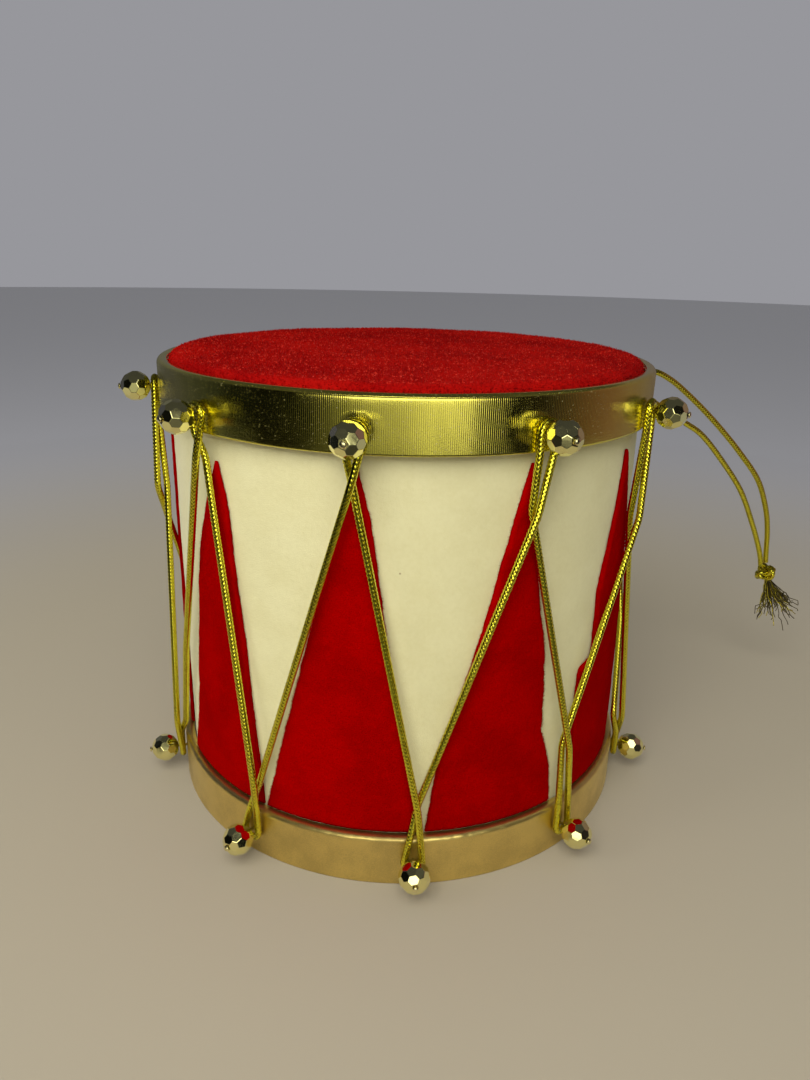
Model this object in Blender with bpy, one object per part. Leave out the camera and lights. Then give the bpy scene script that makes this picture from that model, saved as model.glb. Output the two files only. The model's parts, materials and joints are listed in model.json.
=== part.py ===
"""Small hanging ornament drum.

A foam cylinder is wrapped in cream flocked velvet with ten red velvet triangles,
and closed by a padded red head and a cloth-faced base card. Two hoops, each a
card band inside a folded gold ribbon, carry ten pins apiece. Every pin holds a
faceted bead, and one gold cord zigzags behind the beads from hoop to hoop. A
loop of the same cord hangs from one pin at the right.

Metres, +Z up. The origin is the middle of the face that the drum stands on, and
the front of the drum looks along -Y. Angles are degrees round the drum, from
the front towards +X.
"""

import math

import bmesh
import bpy
from mathutils import Matrix, Vector

# Driving dimensions
HOOP_RADIUS = 0.0670
DRUM_HEIGHT = 0.1231
UPPER_HOOP_HEIGHT = 0.0129
LOWER_HOOP_HEIGHT = 0.0138
CLEARANCE = 0.0003

# Walls and coverings
RIBBON_THICKNESS = 0.0006
RIBBON_LIP_ROUND = 0.0012
BAND_THICKNESS = 0.0018
WRAP_THICKNESS = 0.0008
PANEL_THICKNESS = 0.0006
BASE_CLOTH_THICKNESS = 0.0006
BASE_CARD_THICKNESS = 0.0012

# Head: its wrapped edge stands inside the upper hoop and its crown just above it
HEAD_SEAT_BELOW_LIP = 0.0041
HEAD_SHOULDER_ABOVE_LIP = 0.0014
HEAD_CROWN_ABOVE_LIP = 0.0029
HEAD_CORNER_RADIUS = 0.0030
HEAD_CLOTH_THICKNESS = 0.0008
HEAD_CORNER_ANGLES = (0, 30, 60, 90)
HEAD_CROWN_SHARES = (0.66, 0.33)

# Pins, beads and cord
CORD_DIAMETER = 0.0019
BEAD_DIAMETER = 0.0080
BEAD_BORE_RADIUS = 0.0007
PIN_RADIUS = 0.00035
PIN_HEAD_RADIUS = 0.0008
PIN_HEAD_THICKNESS = 0.0005
PIN_LENGTH = 0.0270
PIN_HOLE_RADIUS = 0.00075
BEAD_SPIN_STEP = 47.0
TOP_PIN_ABOVE_EDGE = 0.0045
BOTTOM_PIN_BELOW_EDGE = 0.0060
LOOP_SLACK = 0.0007
PANEL_TO_CORD_SLACK = 0.00045
STRAND_SHARES = (0.33, 0.67)
HOOP_EDGE_MARGIN = 0.0005

# Hand-set pins, as (angle, angle where the cord crosses itself beside the pin,
# distance of that crossing from the hoop's edge)
TOP_PINS = (
    (-80.0, -77.0, 0.0225), (-43.6, -43.0, 0.0051), (-8.9, -9.3, 0.0067),
    (26.8, 24.9, 0.0133), (61.3, 58.8, 0.0220), (108.0, 108.0, 0.0115),
    (142.0, 141.5, 0.0095), (176.0, 176.4, 0.0130), (210.5, 210.0, 0.0105),
    (245.0, 245.4, 0.0120),
)
BOTTOM_PINS = (
    (-73.0, -69.0, 0.0050), (-33.4, -31.3, 0.0092), (3.6, 4.2, 0.0096),
    (40.0, 38.7, 0.0185), (77.7, 73.0, 0.0070), (112.6, 112.0, 0.0090),
    (147.5, 148.0, 0.0110), (182.4, 182.0, 0.0080), (217.3, 217.5, 0.0100),
    (252.2, 252.0, 0.0090),
)
PIN_COUNT = len(TOP_PINS)
KNOT_PIN = 7
KNOT_SHARE = 0.80
LACING_KNOT_RADIUS = 0.0021
LACING_KNOT_HALF_LENGTH = 0.0028

# Red triangles, as cut by hand: each edge lists (share of the height between
# the hoops, angle). The four at the front differ, and the rest share one cut.
FRONT_PANELS = {
    1: (((0.0, -64.0), (0.06, -61.8), (0.19, -58.2), (0.33, -56.7), (0.46, -54.4),
         (0.58, -53.0), (0.73, -50.3), (0.82, -46.7), (0.89, -44.5), (0.93, -42.7)),
        ((0.0, -32.1), (0.11, -32.8), (0.20, -34.0), (0.30, -34.7), (0.45, -35.7),
         (0.59, -37.2), (0.69, -38.4), (0.79, -39.0), (0.87, -40.1), (0.93, -42.0))),
    2: (((0.0, -31.2), (0.20, -26.8), (0.32, -24.1), (0.44, -21.4), (0.53, -19.4),
         (0.64, -17.0), (0.72, -15.0), (0.97, -9.4)),
        ((0.0, 4.8), (0.60, -3.4), (0.65, -3.8), (0.75, -5.1), (0.86, -6.5), (0.97, -8.8))),
    3: (((0.0, 6.3), (0.25, 8.9), (0.39, 12.8), (0.54, 16.4), (0.67, 19.1),
         (0.77, 20.9), (0.86, 23.0), (0.97, 25.5)),
        ((0.0, 38.3), (0.12, 37.4), (0.18, 35.6), (0.23, 33.8), (0.33, 33.5),
         (0.48, 32.7), (0.57, 31.1), (0.65, 29.6), (0.97, 26.1))),
    4: (((0.0, 45.6), (0.22, 44.9), (0.39, 45.0), (0.52, 49.3), (0.56, 49.0),
         (0.64, 51.4), (0.76, 54.2), (0.87, 56.7), (0.95, 57.7)),
        ((0.0, 76.2), (0.40, 69.5), (0.70, 64.6), (0.95, 58.4))),
}
PANEL_APEX_SHARE = 0.96
PANEL_BASE_MARGIN = 1.8
PANEL_APEX_WIDTH = 0.6
PANEL_WAVE = 0.9
PANEL_WAVE_TURN = 2.1
PANEL_STANDS_OFF = 0.0003
PANEL_ROWS = 8
PANEL_COLUMNS = 4

# Hanger: the loop goes round this pin, outside the lacing. Its free strands are
# listed as (out from the pin's slot, sideways round the drum, up).
HANGER_PIN = 5
HANGER_STRAND_A = (
    (0.0, -0.0019, 0.0016), (0.0004, -0.0033, 0.0018), (0.0020, -0.0053, 0.0024),
    (0.0044, -0.0062, 0.0027), (0.0072, -0.0065, 0.0025), (0.0120, -0.0059, 0.0004),
    (0.0169, -0.0050, -0.0024), (0.0264, -0.0035, -0.0089), (0.0366, -0.0020, -0.0167),
    (0.0470, -0.0010, -0.0258), (0.0572, 0.0, -0.0361), (0.0635, 0.0009, -0.0470),
    (0.0664, 0.0014, -0.0555), (0.0676, 0.0015, -0.0630), (0.0683, 0.0015, -0.0679),
)
HANGER_STRAND_B = (
    (0.0, -0.0019, -0.0016), (0.0004, -0.0033, -0.0020), (0.0020, -0.0053, -0.0034),
    (0.0048, -0.0062, -0.0052), (0.0086, -0.0062, -0.0073), (0.0140, -0.0058, -0.0103),
    (0.0210, -0.0052, -0.0140), (0.0280, -0.0045, -0.0181), (0.0380, -0.0028, -0.0268),
    (0.0495, -0.0014, -0.0390), (0.0580, -0.0002, -0.0522), (0.0624, 0.0005, -0.0600),
    (0.0648, 0.0009, -0.0650), (0.0659, 0.0010, -0.0686),
)
HANGER_POINT_SPACING = 0.0047
HANGER_EYE_RUN = 0.0010
HANGER_KNOT = (0.0689, 0.0015, -0.0719)
HANGER_KNOT_RADIUS = 0.0035
FRINGE_TIP = (0.0795, 0.0015, -0.0915)
FRINGE_TOP_RADIUS = 0.0013
FRINGE_END_RADIUS = 0.0080
FRINGE_FLARE = 0.8

# Facets of the round pieces
ROUND_SEGMENTS = 40
HOLE_SIDES = 6
CORD_BEVEL_RESOLUTION = 2
LOOP_STEPS = 4
ROUTE_STEPS = 12
KNOT_SEGMENTS = 10
KNOT_RINGS = 8
FRINGE_SIDES = 10
FRINGE_RING_SHARES = (0.0, 0.3, 0.65, 1.0)

# Radii and heights that follow from the values above
CORD_RADIUS = CORD_DIAMETER / 2
BAND_OUTER = HOOP_RADIUS - RIBBON_THICKNESS - CLEARANCE
BAND_INNER = BAND_OUTER - BAND_THICKNESS
WRAP_OUTER = BAND_INNER - CLEARANCE
WRAP_INNER = WRAP_OUTER - WRAP_THICKNESS
CORE_RADIUS = WRAP_INNER - CLEARANCE
PANEL_INNER = WRAP_OUTER + CLEARANCE + PANEL_STANDS_OFF
PANEL_OUTER = PANEL_INNER + PANEL_THICKNESS
UPPER_HOOP_BOTTOM = DRUM_HEIGHT - UPPER_HOOP_HEIGHT
TOP_PIN_Z = UPPER_HOOP_BOTTOM + TOP_PIN_ABOVE_EDGE
BOTTOM_PIN_Z = LOWER_HOOP_HEIGHT - BOTTOM_PIN_BELOW_EDGE
BASE_CARD_BOTTOM = BASE_CLOTH_THICKNESS + CLEARANCE
CORE_BOTTOM = BASE_CARD_BOTTOM + BASE_CARD_THICKNESS + CLEARANCE
CORE_TOP = DRUM_HEIGHT - HEAD_SEAT_BELOW_LIP
HEAD_BOTTOM = CORE_TOP + CLEARANCE
PANEL_BOTTOM = LOWER_HOOP_HEIGHT + CLEARANCE
SLOT_RADIUS = HOOP_RADIUS + CLEARANCE + CORD_RADIUS
LOOP_RADIUS = PIN_RADIUS + CLEARANCE + CORD_RADIUS + LOOP_SLACK
INNER_CROSSING_RADIUS = PANEL_OUTER + CLEARANCE + CORD_RADIUS + PANEL_TO_CORD_SLACK
OUTER_CROSSING_RADIUS = INNER_CROSSING_RADIUS + CORD_DIAMETER + 2 * CLEARANCE
HANGER_SLOT_RADIUS = SLOT_RADIUS + CORD_DIAMETER + CLEARANCE

# Truncated icosahedron: distance of its pentagons over that of its corners
GOLDEN = (1 + math.sqrt(5)) / 2
PENTAGON_SHARE = 0.93924
BEAD_FACE = PENTAGON_SHARE * BEAD_DIAMETER / 2
BEAD_CENTRE_RADIUS = SLOT_RADIUS + CORD_RADIUS + CLEARANCE + BEAD_FACE

MATERIALS = {
    "cream_velvet": ((0.80, 0.74, 0.52), 0.95, 0.0),
    "red_velvet": ((0.42, 0.004, 0.006), 0.95, 0.0),
    "head_velvet": ((0.60, 0.01, 0.01), 0.85, 0.0),
    "foam": ((0.85, 0.85, 0.82), 0.9, 0.0),
    "card": ((0.45, 0.36, 0.24), 0.9, 0.0),
    "gold_ribbon": ((0.72, 0.55, 0.16), 0.28, 1.0),
    "gold_bead": ((0.80, 0.70, 0.40), 0.12, 1.0),
    "gold_cord": ((0.62, 0.52, 0.10), 0.35, 0.8),
}


def clear_scene():
    for thing in list(bpy.data.objects):
        bpy.data.objects.remove(thing, do_unlink=True)


def material(name, finish):
    """A Principled material of the named finish, one for each part."""
    colour, roughness, metallic = MATERIALS[finish]
    made = bpy.data.materials.new(name + "_" + finish)
    made.use_nodes = True
    shader = made.node_tree.nodes["Principled BSDF"]
    shader.inputs["Base Color"].default_value = (*colour, 1.0)
    shader.inputs["Roughness"].default_value = roughness
    shader.inputs["Metallic"].default_value = metallic
    return made


def add_object(name, data, finish):
    """Link new mesh or curve data as one named part."""
    part = bpy.data.objects.new(name, data)
    bpy.context.collection.objects.link(part)
    data.materials.append(material(name, finish))
    return part


def finish_mesh(bm, name, smooth_angle=35.0):
    """Turn a closed bmesh into a mesh with outward faces and rounded shading."""
    bmesh.ops.recalc_face_normals(bm, faces=bm.faces)
    mesh = bpy.data.meshes.new(name)
    bm.to_mesh(mesh)
    bm.free()
    mesh.shade_smooth()
    mesh.set_sharp_from_angle(angle=math.radians(smooth_angle))
    return mesh


def outward(angle):
    """Unit vector from the drum's axis towards an angle round the drum."""
    turn = math.radians(angle)
    return Vector((math.sin(turn), -math.cos(turn), 0.0))


def sideways(angle):
    """Unit vector round the drum, towards growing angles."""
    turn = math.radians(angle)
    return Vector((math.cos(turn), math.sin(turn), 0.0))


def at_drum(angle, radius, height, side=0.0):
    """A point by angle, radius and height, moved along the tangent by side."""
    return outward(angle) * radius + sideways(angle) * side + Vector((0, 0, height))


def blend(start, end, share):
    return start + (end - start) * share


# Turned pieces


def turned(name, profile, finish):
    """Revolve a closed outline of (radius, height) round the Z axis.

    A point on the axis becomes one vertex, so a disc closes at its middle.
    """
    bm = bmesh.new()
    rings = []
    for radius, height in profile:
        if radius <= 0:
            rings.append([bm.verts.new((0, 0, height))])
            continue
        ring = []
        for step in range(ROUND_SEGMENTS):
            angle = 360.0 * step / ROUND_SEGMENTS
            ring.append(bm.verts.new(at_drum(angle, radius, height)))
        rings.append(ring)
    for first, second in zip(rings, rings[1:] + rings[:1]):
        for step in range(ROUND_SEGMENTS):
            after = (step + 1) % ROUND_SEGMENTS
            if len(first) == 1 and len(second) == 1:
                break
            if len(first) == 1:
                bm.faces.new((first[0], second[step], second[after]))
            elif len(second) == 1:
                bm.faces.new((first[step], second[0], first[after]))
            else:
                bm.faces.new((first[step], second[step], second[after], first[after]))
    return add_object(name, finish_mesh(bm, name), finish)


def tube_outline(inner, outer, bottom, top):
    return [(inner, bottom), (outer, bottom), (outer, top), (inner, top)]


def disc_outline(radius, bottom, top):
    return [(0, bottom), (radius, bottom), (radius, top), (0, top)]


def ribbon_outline(bottom, top):
    """Folded ribbon: an outer wall turned in over both edges of the band."""
    wall = HOOP_RADIUS - RIBBON_THICKNESS
    inner_edge = BAND_INNER
    diagonal = RIBBON_LIP_ROUND * (1 - math.sqrt(0.5))
    return [
        (inner_edge, bottom), (HOOP_RADIUS, bottom),
        (HOOP_RADIUS, top - RIBBON_LIP_ROUND),
        (HOOP_RADIUS - diagonal, top - diagonal),
        (HOOP_RADIUS - RIBBON_LIP_ROUND, top), (inner_edge, top),
        (inner_edge, top - RIBBON_THICKNESS), (wall, top - RIBBON_THICKNESS),
        (wall, bottom + RIBBON_THICKNESS), (inner_edge, bottom + RIBBON_THICKNESS),
    ]


def head_outline(inset, bottom):
    """The head's crown from its edge to the axis, moved inwards by inset."""
    edge = WRAP_OUTER - inset
    shoulder = DRUM_HEIGHT + HEAD_SHOULDER_ABOVE_LIP - inset
    crown = DRUM_HEIGHT + HEAD_CROWN_ABOVE_LIP - inset
    corner = HEAD_CORNER_RADIUS - inset
    flat_edge = edge - corner
    outline = [(edge, bottom)]
    for angle in HEAD_CORNER_ANGLES:
        turn = math.radians(angle)
        drop = corner * (1 - math.sin(turn))
        outline.append((flat_edge + corner * math.cos(turn), shoulder - drop))
    for share in HEAD_CROWN_SHARES:
        radius = flat_edge * share
        outline.append((radius, shoulder + (crown - shoulder) * (1 - share ** 2)))
    outline.append((0, crown))
    return outline


# Pin holes


def pin_bead_radius(index, pins):
    """Distance of a bead from the axis: the hanger's pin also holds the loop."""
    if pins is TOP_PINS and index == HANGER_PIN:
        return BEAD_CENTRE_RADIUS + CORD_DIAMETER + CLEARANCE
    return BEAD_CENTRE_RADIUS


def prism(bm, start, direction, length, radius, sides):
    """Add a closed prism that runs from start along a unit direction."""
    across = direction.cross(Vector((0, 0, 1))).normalized()
    upward = across.cross(direction)
    rings = []
    for along in (0.0, length):
        ring = []
        for step in range(sides):
            turn = 2 * math.pi * step / sides
            offset = across * (radius * math.cos(turn)) + upward * (radius * math.sin(turn))
            ring.append(bm.verts.new(start + direction * along + offset))
        rings.append(ring)
    bm.faces.new(rings[0])
    bm.faces.new(rings[1])
    for step in range(sides):
        after = (step + 1) % sides
        bm.faces.new((rings[0][step], rings[0][after], rings[1][after], rings[1][step]))


def hole_cutter(name, pins, height):
    """All the pin holes of one hoop, as a hidden cutter."""
    bm = bmesh.new()
    for index, (angle, _, _) in enumerate(pins):
        head = pin_bead_radius(index, pins) + BEAD_FACE + CLEARANCE
        tip = head - PIN_LENGTH - CLEARANCE
        length = HOOP_RADIUS + CORD_DIAMETER - tip
        prism(bm, at_drum(angle, tip, height), outward(angle), length, PIN_HOLE_RADIUS, HOLE_SIDES)
    return guide(name, bm)


def guide(name, bm):
    """A hidden shape that only cuts or joins others."""
    shape = bpy.data.objects.new(name, finish_mesh(bm, name))
    bpy.context.collection.objects.link(shape)
    shape.hide_render = True
    shape.display_type = 'WIRE'
    return shape


def combine(part, operation, *shapes):
    """Cut hidden shapes out of a part, or join them to it."""
    for shape in shapes:
        step = part.modifiers.new(shape.name, 'BOOLEAN')
        step.operation = operation
        step.solver = 'EXACT'
        step.object = shape


# Velvet triangles


def edge_angle(edge, share):
    """Angle of a hand-cut edge at a share of the height between the hoops."""
    for (low, low_angle), (high, high_angle) in zip(edge, edge[1:]):
        if share <= high:
            return blend(low_angle, high_angle, (share - low) / (high - low))
    return edge[-1][1]


def shared_panel(index):
    """The plain cut: apex under its top pin, base between two bottom pins."""
    apex = TOP_PINS[index][0]
    before = BOTTOM_PINS[index - 1][0]
    if before > apex:
        before -= 360.0
    left = before + PANEL_BASE_MARGIN
    right = BOTTOM_PINS[index][0] - PANEL_BASE_MARGIN
    shift = PANEL_WAVE * math.sin(PANEL_WAVE_TURN * index)
    middle = PANEL_APEX_SHARE / 2
    half = PANEL_APEX_WIDTH / 2
    return (
        ((0.0, left), (middle, (left + apex) / 2 + shift), (PANEL_APEX_SHARE, apex - half)),
        ((0.0, right), (middle, (right + apex) / 2 + shift), (PANEL_APEX_SHARE, apex + half)),
    )


def red_panel(name, edges):
    """A curved sheet of velvet between two hand-cut edges."""
    left, right = edges
    top_share = left[-1][0]
    free_height = UPPER_HOOP_BOTTOM - LOWER_HOOP_HEIGHT
    bm = bmesh.new()
    sheets = []
    for radius in (PANEL_INNER, PANEL_OUTER):
        rows = []
        for row in range(PANEL_ROWS + 1):
            share = top_share * row / PANEL_ROWS
            height = max(PANEL_BOTTOM, LOWER_HOOP_HEIGHT + free_height * share)
            start = edge_angle(left, share)
            end = edge_angle(right, share)
            angles = [blend(start, end, column / PANEL_COLUMNS) for column in range(PANEL_COLUMNS + 1)]
            rows.append([bm.verts.new(at_drum(angle, radius, height)) for angle in angles])
        sheets.append(rows)
    inner, outer = sheets
    for rows in sheets:
        for low, high in zip(rows, rows[1:]):
            for column in range(PANEL_COLUMNS):
                bm.faces.new((low[column], low[column + 1], high[column + 1], high[column]))
    for end in (0, PANEL_ROWS):
        for column in range(PANEL_COLUMNS):
            bm.faces.new((inner[end][column], inner[end][column + 1],
                          outer[end][column + 1], outer[end][column]))
    for side in (0, PANEL_COLUMNS):
        for row in range(PANEL_ROWS):
            bm.faces.new((inner[row][side], inner[row + 1][side],
                          outer[row + 1][side], outer[row][side]))
    return add_object(name, finish_mesh(bm, name), "red_velvet")


# Beads and pins


def even_orders(values):
    a, b, c = values
    return ((a, b, c), (b, c, a), (c, a, b))


def bead_corners():
    """Corners of a truncated icosahedron of the bead's diameter."""
    corners = set()
    for base in ((0, 1, 3 * GOLDEN), (1, 2 + GOLDEN, 2 * GOLDEN), (GOLDEN, 2, 2 * GOLDEN + 1)):
        for signs in range(8):
            signed = [value * (-1 if signs >> axis & 1 else 1) for axis, value in enumerate(base)]
            for corner in even_orders(signed):
                corners.add(tuple(round(value, 9) for value in corner))
    return [Vector(corner).normalized() * (BEAD_DIAMETER / 2) for corner in sorted(corners)]


def bead_mesh():
    """A faceted bead, bored along X through two opposite pentagons."""
    axis = Vector((0, 1, GOLDEN)).normalized()
    turn = axis.rotation_difference(Vector((1, 0, 0))).to_matrix()
    bm = bmesh.new()
    for corner in bead_corners():
        bm.verts.new(turn @ corner)
    bmesh.ops.convex_hull(bm, input=bm.verts)
    bmesh.ops.dissolve_limit(bm, angle_limit=math.radians(5), verts=bm.verts, edges=bm.edges)
    bmesh.ops.recalc_face_normals(bm, faces=bm.faces)
    rims = []
    for way in (-1, 1):
        pentagon = max(bm.faces, key=lambda face: way * face.normal.x)
        middle = pentagon.calc_center_median()
        outer = list(pentagon.verts)
        inner = []
        for vertex in outer:
            offset = vertex.co - middle
            inner.append(bm.verts.new(middle + offset.normalized() * BEAD_BORE_RADIUS))
        bm.faces.remove(pentagon)
        for step in range(5):
            after = (step + 1) % 5
            bm.faces.new((outer[step], outer[after], inner[after], inner[step]))
        rims.append(inner)
    first, second = [sorted(rim, key=lambda v: math.atan2(v.co.z, v.co.y)) for rim in rims]
    near = min(range(5), key=lambda step: (second[step].co.yz - first[0].co.yz).length)
    gap = math.atan2(second[near].co.z, second[near].co.y) - math.atan2(first[0].co.z, first[0].co.y)
    ahead = (gap + 2 * math.pi) % (2 * math.pi) < math.pi
    base = near if ahead else near + 1
    for step in range(5):
        here = second[(base + step) % 5]
        bm.faces.new((first[step], first[(step + 1) % 5], here))
        bm.faces.new((first[(step + 1) % 5], second[(base + step + 1) % 5], here))
    return finish_mesh(bm, "bead", smooth_angle=1.0)


def add_beads(prefix, pins, height, mesh):
    """One bead to each pin, its own object with its origin on the pin's axis."""
    for index, (angle, _, _) in enumerate(pins):
        name = "%s_%02d" % (prefix, index + 1)
        bead = bpy.data.objects.new(name, mesh.copy())
        bpy.context.collection.objects.link(bead)
        bead.data.materials.append(material(name, "gold_bead"))
        radius = pin_bead_radius(index, pins)
        facing = Matrix.Rotation(math.radians(angle - 90.0), 4, 'Z')
        spin = Matrix.Rotation(math.radians(BEAD_SPIN_STEP * index), 4, 'X')
        bead.matrix_world = Matrix.Translation(at_drum(angle, radius, height)) @ facing @ spin


def hoop_pins(name, pins, height):
    """All the pins of one hoop, each a thin shaft with a flat head.

    They are a guide, and the hoop's band takes them in as one body: a separate
    part for each pin would be more parts than the model may have.
    """
    bm = bmesh.new()
    for index, (angle, _, _) in enumerate(pins):
        direction = outward(angle)
        across = sideways(angle)
        head = pin_bead_radius(index, pins) + BEAD_FACE + CLEARANCE
        outline = (
            (head - PIN_LENGTH, PIN_RADIUS), (head, PIN_RADIUS),
            (head, PIN_HEAD_RADIUS), (head + PIN_HEAD_THICKNESS, PIN_HEAD_RADIUS),
        )
        rings = []
        for along, radius in outline:
            ring = []
            for step in range(HOLE_SIDES):
                turn = 2 * math.pi * step / HOLE_SIDES
                place = direction * along + across * (radius * math.cos(turn))
                ring.append(bm.verts.new(place + Vector((0, 0, height + radius * math.sin(turn)))))
            rings.append(ring)
        bm.faces.new(rings[0])
        bm.faces.new(rings[-1])
        for first, second in zip(rings, rings[1:]):
            for step in range(HOLE_SIDES):
                after = (step + 1) % HOLE_SIDES
                bm.faces.new((first[step], first[after], second[after], second[step]))
    return guide(name, bm)


# Cords


def cord(name, points):
    """A round cord along a list of points, closed at both ends."""
    curve = bpy.data.curves.new(name, 'CURVE')
    curve.dimensions = '3D'
    curve.bevel_depth = CORD_RADIUS
    curve.bevel_resolution = CORD_BEVEL_RESOLUTION
    curve.use_fill_caps = True
    spline = curve.splines.new('POLY')
    spline.points.add(len(points) - 1)
    for slot, point in zip(spline.points, points):
        slot.co = (*point, 1.0)
    return add_object(name, curve, "gold_cord")


def pin_turn(angle, height, way):
    """The cord's half turn round a pin, from its right side to its left."""
    points = []
    for step in range(LOOP_STEPS + 1):
        turn = math.pi * step / LOOP_STEPS
        side = LOOP_RADIUS * math.cos(turn)
        lift = way * LOOP_RADIUS * math.sin(turn)
        points.append(at_drum(angle, SLOT_RADIUS, height + lift, side))
    return points


def pin_stop(pin, height, edge, way):
    """The cord at one pin: in over the crossing, round the pin, out under it.

    way is 1 at a top pin, where the cord goes over, and -1 at a bottom pin.
    """
    angle, crossing_angle, from_edge = pin
    crossing_height = edge - way * from_edge
    edge_height = edge - way * HOOP_EDGE_MARGIN
    left_angle = angle - math.degrees(LOOP_RADIUS / SLOT_RADIUS)
    share = (height - edge_height) / (height - crossing_height)
    edge_angle_here = blend(left_angle, crossing_angle, share)
    return (
        [at_drum(crossing_angle, OUTER_CROSSING_RADIUS, crossing_height)]
        + pin_turn(angle, height, way)
        + [at_drum(edge_angle_here, SLOT_RADIUS, edge_height),
           at_drum(crossing_angle, INNER_CROSSING_RADIUS, crossing_height)]
    )


def lacing_stops():
    """Every stop of the lacing, in the order that the cord takes them."""
    stops = []
    for step in range(PIN_COUNT):
        index = (KNOT_PIN + step) % PIN_COUNT
        stops.append(pin_stop(BOTTOM_PINS[index], BOTTOM_PIN_Z, LOWER_HOOP_HEIGHT, -1))
        after = (index + 1) % PIN_COUNT
        stops.append(pin_stop(TOP_PINS[after], TOP_PIN_Z, UPPER_HOOP_BOTTOM, 1))
    return stops


def resting_points(start, end):
    """Points of a strand that lies on the velvet, where a straight one would cut it."""
    points = []
    for share in STRAND_SHARES:
        point = blend(start, end, share)
        radius = math.hypot(point.x, point.y)
        if radius < INNER_CROSSING_RADIUS:
            push = INNER_CROSSING_RADIUS / radius
            points.append(Vector((point.x * push, point.y * push, point.z)))
    return points


def add_lacing():
    """The zigzag cord, with the knot that joins its two ends at the back."""
    stops = lacing_stops()
    arrival = stops[-1][-1]
    departure = stops[0][0]
    along = (departure - arrival).normalized()
    middle = blend(arrival, departure, KNOT_SHARE)
    reach = LACING_KNOT_HALF_LENGTH + CLEARANCE
    points = [middle + along * reach]
    for stop, following in zip(stops, stops[1:]):
        points += stop + resting_points(stop[-1], following[0])
    points += stops[-1]
    points.append(middle - along * reach)
    cord("lacing_cord", points)
    add_knot("lacing_knot", middle, along, LACING_KNOT_RADIUS, LACING_KNOT_HALF_LENGTH)


def add_knot(name, middle, along, radius, half_length):
    """A knot's plain outer shape: a ball drawn out along the cord."""
    bm = bmesh.new()
    bmesh.ops.create_uvsphere(bm, u_segments=KNOT_SEGMENTS, v_segments=KNOT_RINGS, radius=1.0)
    turn = Vector((0, 0, 1)).rotation_difference(along).to_matrix().to_4x4()
    stretch = Matrix.Diagonal((radius, radius, half_length, 1.0))
    bmesh.ops.transform(bm, matrix=Matrix.Translation(middle) @ turn @ stretch, verts=bm.verts)
    return add_object(name, finish_mesh(bm, name), "gold_cord")


def hanger_point(out, side, up):
    """A point of the hanger, given from its own slot on its pin."""
    angle = TOP_PINS[HANGER_PIN][0]
    return at_drum(angle, HANGER_SLOT_RADIUS + out, TOP_PIN_Z + up, side)


def smooth_route(points, spacing):
    """Points at an even spacing along a smooth curve through the given ones."""
    ends = [points[0] * 2 - points[1]] + points + [points[-1] * 2 - points[-2]]
    fine = []
    for index in range(1, len(ends) - 2):
        before, start, end, after = ends[index - 1:index + 3]
        for step in range(ROUTE_STEPS):
            t = step / ROUTE_STEPS
            fine.append(0.5 * (2 * start + (end - before) * t
                               + (2 * before - 5 * start + 4 * end - after) * t ** 2
                               + (3 * start - before - 3 * end + after) * t ** 3))
    fine.append(points[-1])
    length = sum((b - a).length for a, b in zip(fine, fine[1:]))
    count = max(2, round(length / spacing))
    wanted = [length * step / count for step in range(count + 1)]
    route = []
    travelled = 0.0
    for a, b in zip(fine, fine[1:]):
        piece = (b - a).length
        while wanted and wanted[0] <= travelled + piece + 1e-9:
            route.append(a + (b - a) * ((wanted.pop(0) - travelled) / piece))
        travelled += piece
    return route


def add_hanger():
    """The hanging loop: an eye round its pin, two free strands, knot and fringe."""
    turn_radius = PIN_RADIUS + CLEARANCE + CORD_RADIUS
    eye = [hanger_point(0.0, -HANGER_EYE_RUN, turn_radius)]
    for step in range(LOOP_STEPS + 1):
        turn = math.pi * step / LOOP_STEPS
        eye.append(hanger_point(0.0, turn_radius * math.sin(turn), turn_radius * math.cos(turn)))
    eye.append(hanger_point(0.0, -HANGER_EYE_RUN, -turn_radius))
    cord("hanger_eye", eye)
    for name, route in (("hanger_strand_a", HANGER_STRAND_A), ("hanger_strand_b", HANGER_STRAND_B)):
        points = [hanger_point(*point) for point in route]
        cord(name, smooth_route(points, HANGER_POINT_SPACING))
    knot = hanger_point(*HANGER_KNOT)
    tip = hanger_point(*FRINGE_TIP)
    along = (tip - knot).normalized()
    add_knot("hanger_knot", knot, along, HANGER_KNOT_RADIUS, HANGER_KNOT_RADIUS)
    add_fringe(knot + along * (HANGER_KNOT_RADIUS + CLEARANCE), tip)


def add_fringe(start, tip):
    """The frayed cord ends below the knot, as the plain shape that they fill."""
    direction = (tip - start).normalized()
    length = (tip - start).length
    across = direction.orthogonal().normalized()
    other = direction.cross(across)
    bm = bmesh.new()
    rings = []
    for share in FRINGE_RING_SHARES:
        radius = blend(FRINGE_TOP_RADIUS, FRINGE_END_RADIUS, share ** FRINGE_FLARE)
        ring = []
        for step in range(FRINGE_SIDES):
            turn = 2 * math.pi * step / FRINGE_SIDES
            offset = across * (radius * math.cos(turn)) + other * (radius * math.sin(turn))
            ring.append(bm.verts.new(start + direction * (length * share) + offset))
        rings.append(ring)
    bm.faces.new(rings[0])
    bm.faces.new(rings[-1])
    for first, second in zip(rings, rings[1:]):
        for step in range(FRINGE_SIDES):
            after = (step + 1) % FRINGE_SIDES
            bm.faces.new((first[step], first[after], second[after], second[step]))
    return add_object("hanger_fringe", finish_mesh(bm, "hanger_fringe"), "gold_cord")


# Assembly


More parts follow.
